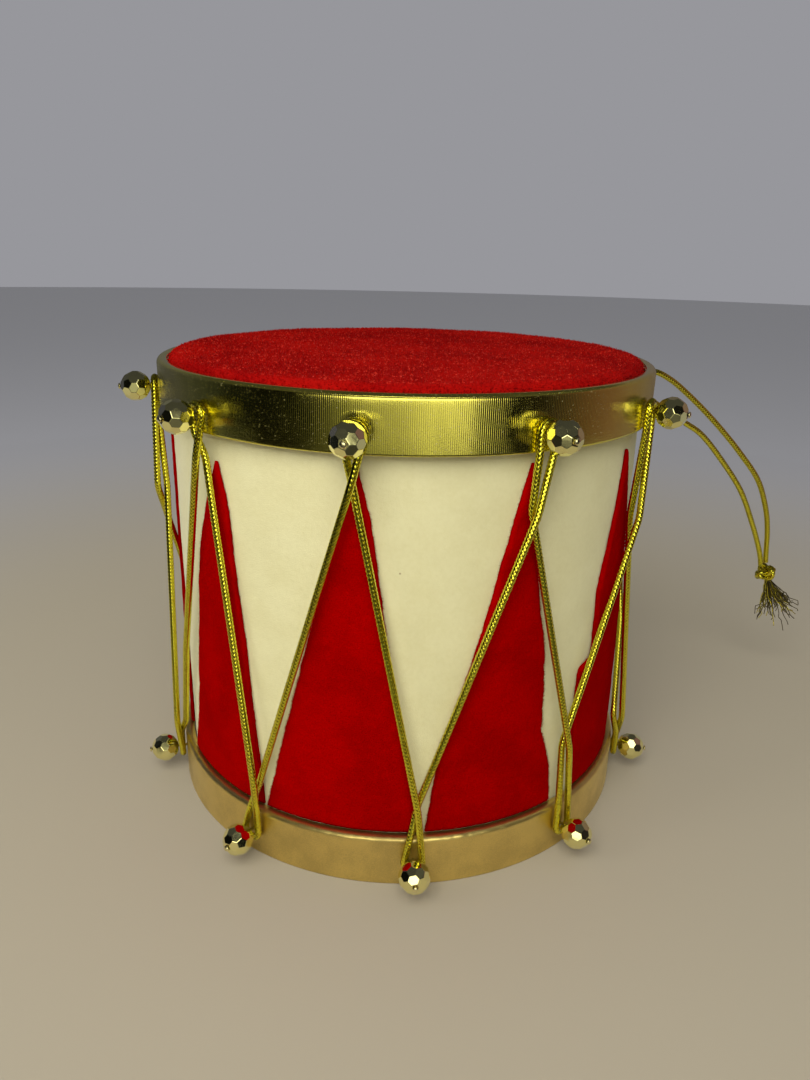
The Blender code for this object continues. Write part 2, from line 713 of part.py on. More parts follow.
def build():
    clear_scene()
    top_holes = hole_cutter("top_pin_holes", TOP_PINS, TOP_PIN_Z)
    bottom_holes = hole_cutter("bottom_pin_holes", BOTTOM_PINS, BOTTOM_PIN_Z)

    core = turned("foam_core", disc_outline(CORE_RADIUS, CORE_BOTTOM, CORE_TOP), "foam")
    combine(core, 'DIFFERENCE', top_holes, bottom_holes)
    wrap = turned("cream_wrap", tube_outline(WRAP_INNER, WRAP_OUTER, BASE_CARD_BOTTOM, CORE_TOP),
                  "cream_velvet")
    combine(wrap, 'DIFFERENCE', top_holes, bottom_holes)
    turned("base_card", disc_outline(CORE_RADIUS, BASE_CARD_BOTTOM,
                                     BASE_CARD_BOTTOM + BASE_CARD_THICKNESS), "card")
    turned("base_cloth", disc_outline(WRAP_OUTER, 0.0, BASE_CLOTH_THICKNESS), "red_velvet")

    pad = head_outline(HEAD_CLOTH_THICKNESS + CLEARANCE, HEAD_BOTTOM)
    turned("head_pad", pad + [(0, HEAD_BOTTOM)], "foam")
    cloth_inside = head_outline(HEAD_CLOTH_THICKNESS, HEAD_BOTTOM)
    turned("head_cloth", head_outline(0.0, HEAD_BOTTOM) + cloth_inside[::-1], "head_velvet")

    top_pins = hoop_pins("top_pins", TOP_PINS, TOP_PIN_Z)
    bottom_pins = hoop_pins("bottom_pins", BOTTOM_PINS, BOTTOM_PIN_Z)
    for place, bottom, top, pins, holes in (
            ("upper", UPPER_HOOP_BOTTOM, DRUM_HEIGHT, top_pins, top_holes),
            ("lower", 0.0, LOWER_HOOP_HEIGHT, bottom_pins, bottom_holes)):
        fold = RIBBON_THICKNESS + CLEARANCE
        band = turned(place + "_pin_band",
                      tube_outline(BAND_INNER, BAND_OUTER, bottom + fold, top - fold), "card")
        ribbon = turned(place + "_hoop_ribbon", ribbon_outline(bottom, top), "gold_ribbon")
        combine(band, 'UNION', pins)
        combine(ribbon, 'DIFFERENCE', holes)

    for index in range(PIN_COUNT):
        edges = FRONT_PANELS.get(index) or shared_panel(index)
        red_panel("red_panel_%02d" % (index + 1), edges)

    bead = bead_mesh()
    add_beads("bead_top", TOP_PINS, TOP_PIN_Z, bead)
    add_beads("bead_bottom", BOTTOM_PINS, BOTTOM_PIN_Z, bead)
    bpy.data.meshes.remove(bead)

    add_lacing()
    add_hanger()


build()
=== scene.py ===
# %% [markdown]
# # A small hanging drum
# This notebook dresses the CAD model of an ornament drum: a foam cylinder in
# flocked velvet, closed by a padded head, with two ribbon hoops, twenty beaded
# pins, one zigzag cord and a hanging loop. The CAD model gives every size and
# every joint. Each cell makes one piece or one finish and puts it in that frame.

# %% Load the frame
import json
import math

import bpy
import bmesh
import numpy as np
from mathutils import Matrix, Vector, noise

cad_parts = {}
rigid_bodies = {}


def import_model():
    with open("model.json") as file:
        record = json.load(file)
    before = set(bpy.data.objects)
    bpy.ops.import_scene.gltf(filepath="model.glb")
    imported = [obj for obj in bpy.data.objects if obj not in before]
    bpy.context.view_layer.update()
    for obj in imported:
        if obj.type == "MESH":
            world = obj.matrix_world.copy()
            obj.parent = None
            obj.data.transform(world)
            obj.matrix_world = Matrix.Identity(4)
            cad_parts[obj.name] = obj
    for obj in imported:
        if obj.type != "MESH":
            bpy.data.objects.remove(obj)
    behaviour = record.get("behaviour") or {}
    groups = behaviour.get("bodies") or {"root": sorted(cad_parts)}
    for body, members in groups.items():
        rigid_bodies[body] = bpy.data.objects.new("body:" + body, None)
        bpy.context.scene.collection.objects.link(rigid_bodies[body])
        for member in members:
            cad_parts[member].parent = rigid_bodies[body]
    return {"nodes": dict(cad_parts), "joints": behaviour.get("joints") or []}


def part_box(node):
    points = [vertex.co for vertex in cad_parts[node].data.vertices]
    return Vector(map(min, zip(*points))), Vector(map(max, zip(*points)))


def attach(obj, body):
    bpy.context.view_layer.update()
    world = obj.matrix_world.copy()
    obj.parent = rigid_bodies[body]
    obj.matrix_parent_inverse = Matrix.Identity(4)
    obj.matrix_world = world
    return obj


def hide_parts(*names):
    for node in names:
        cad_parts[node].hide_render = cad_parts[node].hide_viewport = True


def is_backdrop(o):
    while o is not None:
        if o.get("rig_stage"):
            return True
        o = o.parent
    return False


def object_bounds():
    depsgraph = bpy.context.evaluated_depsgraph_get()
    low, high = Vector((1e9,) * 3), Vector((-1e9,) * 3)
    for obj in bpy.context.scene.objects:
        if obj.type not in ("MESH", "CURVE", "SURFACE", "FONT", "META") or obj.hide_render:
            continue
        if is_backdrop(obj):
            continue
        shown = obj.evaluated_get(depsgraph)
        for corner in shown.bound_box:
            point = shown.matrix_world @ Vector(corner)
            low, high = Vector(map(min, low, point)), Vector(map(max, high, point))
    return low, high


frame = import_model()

CAD_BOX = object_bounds()

# %% [markdown]
# ## The camera
# The camera stands where the photograph was taken: close in front, a little
# above the head, tilted down by about twenty degrees. A photograph's focal
# length in pixels over its height gives the lens for Blender's 36 mm sensor.

# %% Camera
PHOTO_HEIGHT = 1080
FOCAL_PIXELS = 811.0
SENSOR_MM = 36.0
CAMERA_PLACE = Vector((0.0, -0.2301, 0.1505))
CAMERA_DOWN = math.radians(19.71)
CAMERA_RIGHT = math.radians(0.17)
CAMERA_ROLL = math.radians(1.32)
CAMERA_NEAR = 0.005


def linked(name, data):
    """A new object in the scene."""
    made = bpy.data.objects.new(name, data)
    bpy.context.scene.collection.objects.link(made)
    return made


def make_camera():
    ahead = Vector((math.sin(CAMERA_RIGHT) * math.cos(CAMERA_DOWN),
                    math.cos(CAMERA_RIGHT) * math.cos(CAMERA_DOWN), -math.sin(CAMERA_DOWN)))
    level = ahead.cross(Vector((0, 0, 1))).normalized()
    upright = level.cross(ahead)
    across = level * math.cos(CAMERA_ROLL) + upright * math.sin(CAMERA_ROLL)
    up = upright * math.cos(CAMERA_ROLL) - level * math.sin(CAMERA_ROLL)
    turn = Matrix((across, up, -ahead)).transposed()
    data = bpy.data.cameras.new("camera")
    data.sensor_width = SENSOR_MM
    data.lens = FOCAL_PIXELS / PHOTO_HEIGHT * SENSOR_MM
    data.clip_start = CAMERA_NEAR
    camera = linked("camera", data)
    camera.matrix_world = Matrix.Translation(CAMERA_PLACE) @ turn.to_4x4()
    bpy.context.scene.camera = camera
    return camera


camera = make_camera()
print("lens", round(camera.data.lens, 2), "mm")

# %% [markdown]
# ## Node trees as sums
# Materials and Geometry Nodes trees are easier to read as sums than as wiring.
# A Wire is one output of a node, and adding or multiplying it makes the Math
# node. A Board makes every other node, from its type, settings and sockets.

# %% Wires and boards


class Wire:
    """One output of a node, which can be used in a sum."""

    def __init__(self, board, output):
        self.board = board
        self.output = output

    def __getitem__(self, name):
        return Wire(self.board, self.output.node.outputs[name])

    def __add__(self, other):
        return self.board.math("ADD", self, other)

    def __radd__(self, other):
        return self.board.math("ADD", other, self)

    def __sub__(self, other):
        return self.board.math("SUBTRACT", self, other)

    def __rsub__(self, other):
        return self.board.math("SUBTRACT", other, self)

    def __mul__(self, other):
        return self.board.math("MULTIPLY", self, other)

    def __rmul__(self, other):
        return self.board.math("MULTIPLY", other, self)

    def __truediv__(self, other):
        return self.board.math("DIVIDE", self, other)

    def __pow__(self, other):
        return self.board.math("POWER", self, other)

    def __gt__(self, other):
        return self.board.math("GREATER_THAN", self, other)

    def cos(self):
        return self.board.math("COSINE", self)

    def sin(self):
        return self.board.math("SINE", self)


class Board:
    """The nodes of one tree."""

    def __init__(self, tree):
        self.tree = tree

    def node(self, kind, sockets=None, output=0, stops=None, **settings):
        made = self.tree.nodes.new(kind)
        for name, value in settings.items():
            setattr(made, name, value)
        if stops:
            ramp = made.color_ramp.elements
            while len(ramp) < len(stops):
                ramp.new(0.5)
            for element, (position, colour) in zip(ramp, stops):
                element.position = position
                element.color = (*colour, 1.0)
        self.plug(made, sockets or {})
        return Wire(self, made.outputs[output]) if made.outputs else None

    def plug(self, made, sockets):
        """Give a node's inputs wires or plain values."""
        for name, value in sockets.items():
            if isinstance(value, Wire):
                self.tree.links.new(value.output, made.inputs[name])
            else:
                made.inputs[name].default_value = value

    def math(self, operation, *values):
        return self.node("ShaderNodeMath", dict(enumerate(values)), operation=operation)

    def vector(self, operation, *values):
        return self.node("ShaderNodeVectorMath", dict(enumerate(values)), operation=operation)

    def scaled(self, vector, factor):
        return self.node("ShaderNodeVectorMath", {0: vector, "Scale": factor}, operation="SCALE")

    def blend(self, share, first, second):
        """A colour between two colours."""
        return self.node("ShaderNodeMix", {0: share, 6: first, 7: second}, 2, data_type="RGBA")

    def step(self, value, low, high):
        """0 below low, 1 above high, and smooth between."""
        return self.node("ShaderNodeMapRange", {"Value": value, "From Min": low, "From Max": high},
                         interpolation_type="SMOOTHSTEP")

    def noise(self, place, size, detail=2.0, roughness=0.5):
        """Soft noise whose blobs are about size metres across."""
        return self.node("ShaderNodeTexNoise", {"Vector": place, "Scale": 1 / size, "Detail": detail,
                                                "Roughness": roughness})

    def cells(self, place, size):
        """Cells about size metres across, each with its own colour."""
        return self.node("ShaderNodeTexVoronoi", {"Vector": place, "Scale": 1 / size}, "Distance")

    def axes(self, place):
        return self.node("ShaderNodeSeparateXYZ", {"Vector": place})

    def reach(self, place):
        """How far a place is from the Z axis."""
        axis = self.axes(place)
        return (axis["X"] * axis["X"] + axis["Y"] * axis["Y"]) ** 0.5

    def place(self):
        return self.node("ShaderNodeTexCoord", output="Object")

    def bump(self, height, strength, depth):
        """A normal from a height from 0 to 1, which stands for depth metres."""
        return self.node("ShaderNodeBump", {"Height": height, "Strength": strength, "Distance": depth})


def colour(red, green, blue):
    """A colour as read off a screen, 0 to 255, as the shader's own linear values."""
    linear = []
    for value in (red, green, blue):
        share = value / 255
        linear.append(share / 12.92 if share <= 0.04045 else ((share + 0.055) / 1.055) ** 2.4)
    return (*linear, 1.0)


def finish(name, build, **fixed):
    """A material whose Principled shader takes what build returns and some fixed values."""
    made = bpy.data.materials.new(name)
    made.use_nodes = True
    board = Board(made.node_tree)
    shader = made.node_tree.nodes["Principled BSDF"]
    values = dict(fixed)
    values.update(build(board))
    board.plug(shader, values)
    return made


def dress(mesh, made):
    """Give a mesh one material."""
    mesh.materials.clear()
    mesh.materials.append(made)


print("colour check", [round(value, 3) for value in colour(214, 208, 151)])

# %% [markdown]
# ## Velvet
# Flocked velvet is a mat of short fibres. From a step away it is matt, a little
# mottled where the nap lies differently, and it brightens at grazing angles,
# which the shader's sheen gives. The cream one has picked up a few specks.

# %% Velvet finishes
CREAM = colour(224, 218, 168)
CREAM_SHADE = colour(218, 211, 159)
CREAM_SPECK = colour(122, 92, 62)
CREAM_GRAINS = (0.009, 0.0011, 0.00028)
RED_GRAINS = (0.013, 0.0016, 0.00026)
SPECK_SPACING = 0.0065
SPECKLESS_SHARE = 0.80
RED = colour(160, 0, 0)
RED_DEEP = colour(146, 0, 0)
RED_LIGHT = colour(186, 4, 4)


def velvet_grains(board, place, sizes, cloud_roughness):
    """A velvet's clouds, its nap and its pile, as noise of three sizes in metres."""
    cloud, nap, pile = sizes
    return (board.noise(place, cloud, 3, cloud_roughness), board.noise(place, nap, 3, 0.6),
            board.noise(place, pile, 2, 0.7))


def cream_velvet(board):
    place = board.place()
    cloud, nap, pile = velvet_grains(board, place, CREAM_GRAINS, 0.5)
    dots = board.cells(place, SPECK_SPACING)
    picked = board.node("ShaderNodeSeparateColor", {"Color": dots["Color"]})
    speck = (1 - board.step(dots, 0.02, 0.05)) * (picked > SPECKLESS_SHARE)
    base = board.blend(board.step(cloud * 0.6 + nap * 0.4, 0.30, 0.70), CREAM_SHADE, CREAM)
    base = board.blend(speck * 0.7, base, CREAM_SPECK)
    height = nap * 0.5 + pile * 0.5
    return {"Base Color": base, "Roughness": 0.86 + nap * 0.12,
            "Normal": board.bump(height, 0.6, 0.0003)}


def red_velvet(board):
    place = board.place()
    cloud, nap, pile = velvet_grains(board, place, RED_GRAINS, 0.55)
    base = board.blend(board.step(cloud, 0.35, 0.65), RED_DEEP, RED)
    lit = board.step(nap * 0.6 + pile * 0.4, 0.52, 0.72)
    base = board.blend(lit * 0.35, base, RED_LIGHT)
    height = nap * 0.45 + pile * 0.55
    return {"Base Color": base, "Roughness": 0.82 + cloud * 0.15,
            "Normal": board.bump(height, 0.8, 0.0004)}


CREAM_VELVET = finish("cream_velvet", cream_velvet, **{"Sheen Weight": 0.25, "Sheen Roughness": 0.4,
                                                       "Specular IOR Level": 0.15})
RED_VELVET = finish("red_velvet", red_velvet, **{"Sheen Weight": 0.03, "Sheen Roughness": 0.35,
                                                 "Sheen Tint": (1.0, 0.05, 0.04, 1.0),
                                                 "Specular IOR Level": 0.0})
print("velvets", CREAM_VELVET.name, RED_VELVET.name)

# %% [markdown]
# ## Glittered velvet
# The head's cloth is the same red pile with fine glitter in it. Small Voronoi
# cells stand for the flakes: each has a random colour, and only the few whose
# value is high are shiny and tilted, so they catch the light one by one. Their
# lighter red is a painted glint; their lower roughness is real shine.

# %% Head finish
HEAD_RED = colour(158, 8, 3)
HEAD_DEEP = colour(128, 0, 0)
FLAKE_GLINT_RED = colour(206, 50, 34)
FLAKE_SIZE = 0.00055
HEAD_PLAIN_RADIUS = 0.0622
HEAD_PLAIN_BLEND = 0.0012


def head_velvet(board):
    place = board.place()
    cloud = board.noise(place, 0.020, 3)
    grain = board.noise(place, 0.0009, 3, 0.7)
    flake = board.node("ShaderNodeSeparateColor", {"Color": board.cells(place, FLAKE_SIZE)["Color"]})
    inside = 1 - board.step(board.reach(place), HEAD_PLAIN_RADIUS - HEAD_PLAIN_BLEND, HEAD_PLAIN_RADIUS)
    bright = board.step(flake["Red"], 0.86, 0.97) * inside
    base = board.blend(board.step(cloud * 0.5 + grain * 0.5, 0.4, 0.6), HEAD_DEEP, HEAD_RED)
    # The chosen flakes' lighter red is a painted glint; their lower roughness is real.
    base = board.blend(bright * 0.8, base, FLAKE_GLINT_RED)
    height = grain * 0.4 + flake["Green"] * 0.6 * inside
    return {"Base Color": base, "Roughness": 0.85 - bright * 0.5,
            "Normal": board.bump(height, 0.9, 0.0004)}


HEAD_VELVET = finish("head_velvet", head_velvet, **{"Sheen Weight": 0.02, "Sheen Roughness": 0.4,
                                                    "Sheen Tint": (1.0, 0.15, 0.1, 1.0),
                                                    "Specular IOR Level": 0.05})
print("head finish", HEAD_VELVET.name)

# %% [markdown]
# ## Gold
# Ribbon, cord, beads and pins are all coated with metal, and differ in tint and
# roughness. Only the upper ribbon has pale flecks that are a little less
# metallic: painted glints, which lamps light as pale spots in its dark
# reflections. The ribbons' weave is a fine noise in colour, roughness and normal.

# %% Gold finishes
UPPER_GOLD = (0.86, 0.78, 0.13, 1.0)
UPPER_GLINT_FLECK = (0.90, 0.84, 0.50, 1.0)
UPPER_GOLD_WORN = (0.72, 0.60, 0.14, 1.0)
LOWER_GOLD = (0.86, 0.66, 0.22, 1.0)
LOWER_GOLD_DULL = (0.66, 0.50, 0.17, 1.0)
CORD_GOLD = (0.90, 0.84, 0.07, 1.0)
CORD_GOLD_DEEP = (0.56, 0.40, 0.02, 1.0)
BEAD_GOLD = (0.92, 0.87, 0.40, 1.0)
PIN_GOLD = (0.88, 0.80, 0.42, 1.0)
LAME_WEAVE = 0.00035
SATIN_WEAVE = 0.0003


def upper_lame(board):
    place = board.place()
    weave = board.noise(place, LAME_WEAVE, 2, 0.8)
    cloud = board.noise(place, 0.006, 2)
    base = board.blend(board.step(weave, 0.42, 0.72) * 0.5, UPPER_GOLD, UPPER_GOLD_WORN)
    # Pale, less metallic flecks: painted glints in the ribbon's dark reflections.
    fleck = board.step(board.noise(place, LAME_WEAVE, 1), 0.64, 0.80)
    base = board.blend(fleck * 0.5, base, UPPER_GLINT_FLECK)
    return {"Base Color": base, "Roughness": 0.06 + cloud * 0.06 + weave * 0.08,
            "Metallic": 1 - fleck * 0.3, "Normal": board.bump(weave, 0.5, 0.000018)}


def lower_satin(board):
    place = board.place()
    weave = board.noise(place, SATIN_WEAVE, 2, 0.8)
    cloud = board.noise(place, 0.010, 3)
    base = board.blend(board.step(cloud * 0.6 + weave * 0.4, 0.40, 0.66), LOWER_GOLD, LOWER_GOLD_DULL)
    return {"Base Color": base, "Roughness": 0.30 + cloud * 0.15,
            "Normal": board.bump(weave, 0.3, 0.00002)}


def cord_gold(board):
    place = board.place()
    turn = board.noise(place, 0.0006, 2)
    base = board.blend(board.step(turn, 0.45, 0.75), CORD_GOLD, CORD_GOLD_DEEP)
    return {"Base Color": base, "Roughness": 0.03 + turn * 0.06}


def bead_gold(board):
    place = board.place()
    haze = board.noise(place, 0.0022, 2)
    return {"Base Color": BEAD_GOLD, "Roughness": 0.05 + haze * 0.08,
            "Normal": board.bump(haze, 0.2, 0.00006)}


def pin_gold(board):
    haze = board.noise(board.place(), 0.0008, 2)
    return {"Base Color": PIN_GOLD, "Roughness": 0.14 + haze * 0.14}


UPPER_LAME = finish("upper_lame", upper_lame)
LOWER_SATIN = finish("lower_satin", lower_satin, Metallic=1.0)
CORD_YARN = finish("cord_yarn", cord_gold, Metallic=1.0)
BEAD_PLATING = finish("bead_plating", bead_gold, Metallic=1.0)
PIN_PLATING = finish("pin_plating", pin_gold, Metallic=1.0)
print("gold finishes made")

# %% [markdown]
# ## What lies inside
# Foam, card and the cord's core are hardly seen, but the part comes apart, so
# they get a finish of their own: foam has closed cells, card has fibres, and
# the core is the dark thread that shows between the cord's yarns.

# %% Hidden finishes
FOAM_WHITE = colour(226, 226, 218)
FOAM_SHADE = colour(196, 196, 186)
CARD_BROWN = colour(188, 164, 128)
CARD_FIBRE = colour(150, 122, 86)
CORE_DARK = colour(46, 38, 8)
CORE_LIGHT = colour(96, 82, 14)


def foam(board):
    place = board.place()
    cell = board.cells(place, 0.0016)
    base = board.blend(board.step(cell, 0.2, 0.8), FOAM_WHITE, FOAM_SHADE)
    return {"Base Color": base, "Roughness": 0.9, "Normal": board.bump(cell, 0.5, 0.0003)}


def card(board):
    place = board.place()
    fibre = board.noise(place, 0.0007, 4, 0.8)
    base = board.blend(board.step(fibre, 0.35, 0.7), CARD_BROWN, CARD_FIBRE)
    return {"Base Color": base, "Roughness": 0.88, "Normal": board.bump(fibre, 0.4, 0.0001)}


def cord_core(board):
    thread = board.noise(board.place(), 0.0005, 2)
    return {"Base Color": board.blend(board.step(thread, 0.4, 0.7), CORE_DARK, CORE_LIGHT),
            "Roughness": 0.6}


FOAM = finish("foam", foam)
CARD = finish("card", card)
CORD_CORE = finish("cord_core", cord_core)

for node, made in (("foam_core", FOAM), ("base_card", CARD)):
    dress(frame["nodes"][node].data, made)
print("foam core and base card dressed")

# %% [markdown]
# ## Pins, as the CAD model has them
# Every bead turns on a pin, and its joint says where: the point is the bead's
# middle and the axis is the pin's. The angle where the cord crosses itself
# beside each pin isn't in the joint, so the pins' table is repeated here.

# %% Pins and places
CLEARANCE = 0.0003
CORD_RADIUS = 0.00095
BEAD_RADIUS = 0.0040
BEAD_FACE = 0.003757
PIN_RADIUS = 0.00035
PIN_HEAD_RADIUS = 0.0008
PIN_HEAD_THICKNESS = 0.0005
PIN_LENGTH = 0.0270
LOOP_RADIUS = PIN_RADIUS + CLEARANCE + CORD_RADIUS + 0.0007
TOP_PINS = (
    (-80.0, -77.0, 0.0225), (-43.6, -43.0, 0.0051), (-8.9, -9.3, 0.0067),
    (26.8, 24.9, 0.0133), (61.3, 58.8, 0.0220), (108.0, 108.0, 0.0115),
    (142.0, 141.5, 0.0095), (176.0, 176.4, 0.0130), (210.5, 210.0, 0.0105),
    (245.0, 245.4, 0.0120),
)
BOTTOM_PINS = (
    (-73.0, -69.0, 0.0050), (-33.4, -31.3, 0.0092), (3.6, 4.2, 0.0096),
    (40.0, 38.7, 0.0185), (77.7, 73.0, 0.0070), (112.6, 112.0, 0.0090),
    (147.5, 148.0, 0.0110), (182.4, 182.0, 0.0080), (217.3, 217.5, 0.0100),
    (252.2, 252.0, 0.0090),
)
JOINTS = {joint["child"]: joint for joint in frame["joints"]}
HOOP_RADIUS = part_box("upper_hoop_ribbon")[1].x
DRUM_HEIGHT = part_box("upper_hoop_ribbon")[1].z
UPPER_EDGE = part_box("upper_hoop_ribbon")[0].z
LOWER_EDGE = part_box("lower_hoop_ribbon")[1].z
WRAP_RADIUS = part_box("cream_wrap")[1].x
SLOT_RADIUS = HOOP_RADIUS + CLEARANCE + CORD_RADIUS
TOP_PIN_Z = JOINTS["bead_top_01"]["pos_m"][2]
BOTTOM_PIN_Z = JOINTS["bead_bottom_01"]["pos_m"][2]


def outward(angle):
    turn = math.radians(angle)
    return Vector((math.sin(turn), -math.cos(turn), 0.0))


def sideways(angle):
    turn = math.radians(angle)
    return Vector((math.cos(turn), math.sin(turn), 0.0))


def at_drum(angle, radius, height, side=0.0):
    """A point by angle, radius and height, moved along the tangent by side."""
    return outward(angle) * radius + sideways(angle) * side + Vector((0, 0, height))


def between(start, end, share):
    return start + (end - start) * share


def show(name, mesh, made=None):
    """Link a mesh as a piece of its own."""
    if made is not None:
        dress(mesh, made)
    return linked(name, mesh)


def place_piece(piece, body, slot, *nodes):
    """A piece rides on a body and stands for some CAD nodes, which are hidden; slot is not used."""
    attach(piece, body)
    if nodes:
        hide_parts(*nodes)
    return piece


def triangles(piece):
    return sum(len(face.vertices) - 2 for face in piece.data.polygons)


def plain_mesh(thing):
    """What an object's modifiers or bevel make of it, as a mesh."""
    graph = bpy.context.evaluated_depsgraph_get()
    return bpy.data.meshes.new_from_object(thing.evaluated_get(graph), depsgraph=graph)


def mesh_of(bm, name):
    """A finished bmesh as a mesh."""
    mesh = bpy.data.meshes.new(name)
    bm.to_mesh(mesh)
    bm.free()
    return mesh


print("hoop radius", round(HOOP_RADIUS * 1000, 2), "mm, pins at", TOP_PIN_Z, BOTTOM_PIN_Z)

# %% [markdown]
# ## A braid along any route
# The cord is a round braid: twelve metallic tapes, six wound each way, over
# a dark core. Each tape passes over two and under two of the others, which
# gives the row of small chevrons. The tapes are flat and lie on the cord, so
# that each crossing shows a little mirror, bright or black by its tilt. One
# Geometry Nodes tree copies the route once for each tape and moves every copy
# out along the route's own normal, at an angle that grows along it.

# %% The braid's tree
BRAID_LEAD = 0.0060
BRAID_PAIRS = 6
TAPE_WIDTH = 0.00060
TAPE_THICKNESS = 0.00013
BRAID_STEP = 0.00040
TAPE_SIDES = 6
WEAVE_DEPTH = 0.00013
TAPE_FOLD = 1.0
CORE_RADIUS = CORD_RADIUS - 0.00040
CORE_BEVEL = 2


def tree_board(name, sockets):
    """A Geometry Nodes tree with named inputs, and its board."""
    tree = bpy.data.node_groups.new(name, "GeometryNodeTree")
    tree.is_modifier = True
    tree.interface.new_socket("Geometry", in_out='INPUT', socket_type='NodeSocketGeometry')
    for label, kind, value in sockets:
        socket = tree.interface.new_socket(label, in_out='INPUT', socket_type='NodeSocket' + kind)
        if value is not None:
            socket.default_value = value
    tree.interface.new_socket("Geometry", in_out='OUTPUT', socket_type='NodeSocketGeometry')
    board = Board(tree)
    return board, board.node("NodeGroupInput")


def end_tree(board, geometry, made):
    """Every tree ends in real geometry with a material."""
    real = board.node("GeometryNodeRealizeInstances", {"Geometry": geometry})
    smooth = board.node("GeometryNodeSetShadeSmooth", {"Geometry": real})
    dressed = board.node("GeometryNodeSetMaterial", {"Geometry": smooth, "Material": made})
    board.node("NodeGroupOutput", {"Geometry": dressed})
    return board.tree


def braid_tree():
    board, given = tree_board("round_braid", (
        ("Lead", "Float", BRAID_LEAD), ("Yarns", "Int", 2 * BRAID_PAIRS), ("First", "Int", 0),
        ("Every", "Int", 1), ("Radius", "Float", CORD_RADIUS), ("Thickness", "Float", TAPE_THICKNESS),
        ("Width", "Float", TAPE_WIDTH), ("Step", "Float", BRAID_STEP), ("Weave", "Float", WEAVE_DEPTH)))
    route = board.node("GeometryNodeResampleCurve", {"Curve": given["Geometry"], "Length": given["Step"]},
                       mode='LENGTH')
    copies = board.node("GeometryNodeDuplicateElements",
                        {"Geometry": route, "Amount": given["Yarns"] / given["Every"]}, domain='SPLINE')
    index = copies["Duplicate Index"] * given["Every"] + given["First"]
    way = board.math("MODULO", index, 2) * 2 - 1
    number = board.math("FLOOR", index / 2)
    pairs = given["Yarns"] / 2
    along = board.node("GeometryNodeSplineParameter", output="Length") / given["Lead"] * (2 * math.pi)
    angle = way * along + number / pairs * (2 * math.pi)
    phase = along * pairs / 2 - way * (math.pi / 4) + number * math.pi
    lift = given["Radius"] - given["Thickness"] / 2 - given["Weave"] + way * phase.cos() * given["Weave"]
    normal = board.node("GeometryNodeInputNormal")
    tangent = board.node("GeometryNodeInputTangent")
    side = board.vector("CROSS_PRODUCT", tangent, normal)
    out = board.vector("ADD", board.scaled(normal, angle.cos()), board.scaled(side, angle.sin()))
    faced = board.node("GeometryNodeSetCurveNormal", {"Curve": copies["Geometry"], "Normal": out},
                       mode='FREE')
    moved = board.node("GeometryNodeSetPosition", {"Geometry": faced, "Offset": board.scaled(
        board.node("GeometryNodeInputNormal"), lift)})
    ring = board.node("GeometryNodeCurvePrimitiveCircle", {"Resolution": TAPE_SIDES, "Radius": 0.5},
                      mode='RADIUS')
    turned_ring = board.node("GeometryNodeTransform", {"Geometry": ring["Curve"],
                                                       "Rotation": (0, 0, math.pi / TAPE_SIDES)})
    size = board.node("ShaderNodeCombineXYZ", {"X": given["Thickness"], "Y": given["Width"], "Z": 1.0})
    tape = board.node("GeometryNodeTransform", {"Geometry": turned_ring, "Scale": size})
    tubes = board.node("GeometryNodeCurveToMesh", {"Curve": moved, "Profile Curve": tape,
                                                   "Fill Caps": True})
    fold = board.node("GeometryNodeInputMeshEdgeAngle")["Unsigned Angle"]
    tubes = board.node("GeometryNodeSetShadeSmooth", {
        "Geometry": tubes, "Selection": fold > TAPE_FOLD, "Shade Smooth": False}, domain='EDGE')
    return end_tree(board, tubes, CORD_YARN)


BRAID = braid_tree()


def route_object(name, points):
    """A bare poly curve along some points."""
    curve = bpy.data.curves.new(name, 'CURVE')
    curve.dimensions = '3D'
    spline = curve.splines.new('POLY')
    spline.points.add(len(points) - 1)
    for slot, point in zip(spline.points, points):
        slot.co = (*point, 1.0)
    return linked(name, curve)


def run_tree(thing, tree, values):
    """Run a tree on an object and return the result as a plain mesh."""
    modifier = thing.modifiers.new(tree.name, 'NODES')
    modifier.node_group = tree
    for item in tree.interface.items_tree:
        if item.item_type == 'SOCKET' and item.in_out == 'INPUT' and item.name in values:
            modifier[item.identifier] = values[item.name]
    mesh = plain_mesh(thing)
    data = thing.data
    bpy.data.objects.remove(thing)
    if data.users == 0 and isinstance(data, bpy.types.Curve):
        bpy.data.curves.remove(data)
    return mesh


def braid(name, points, body, *nodes, **values):
    """The tapes of a braided cord along a route."""
    mesh = run_tree(route_object("route", points), BRAID, values)
    return place_piece(show(name, mesh), body, "gold_cord", *nodes)


def cord_tube(name, points, body, *nodes):
    """The braid's core, a plain closed tube along a route."""
    route = route_object("route", points)
    route.data.bevel_depth = CORE_RADIUS
    route.data.bevel_resolution = CORE_BEVEL
    route.data.use_fill_caps = True
    mesh = plain_mesh(route)
    bpy.data.objects.remove(route)
    mesh.shade_smooth()
    return place_piece(show(name, mesh, CORD_CORE), body, "gold_cord", *nodes)


print("braid of", 2 * BRAID_PAIRS, "tapes, chevrons every", round(BRAID_LEAD / BRAID_PAIRS * 1000, 2), "mm")
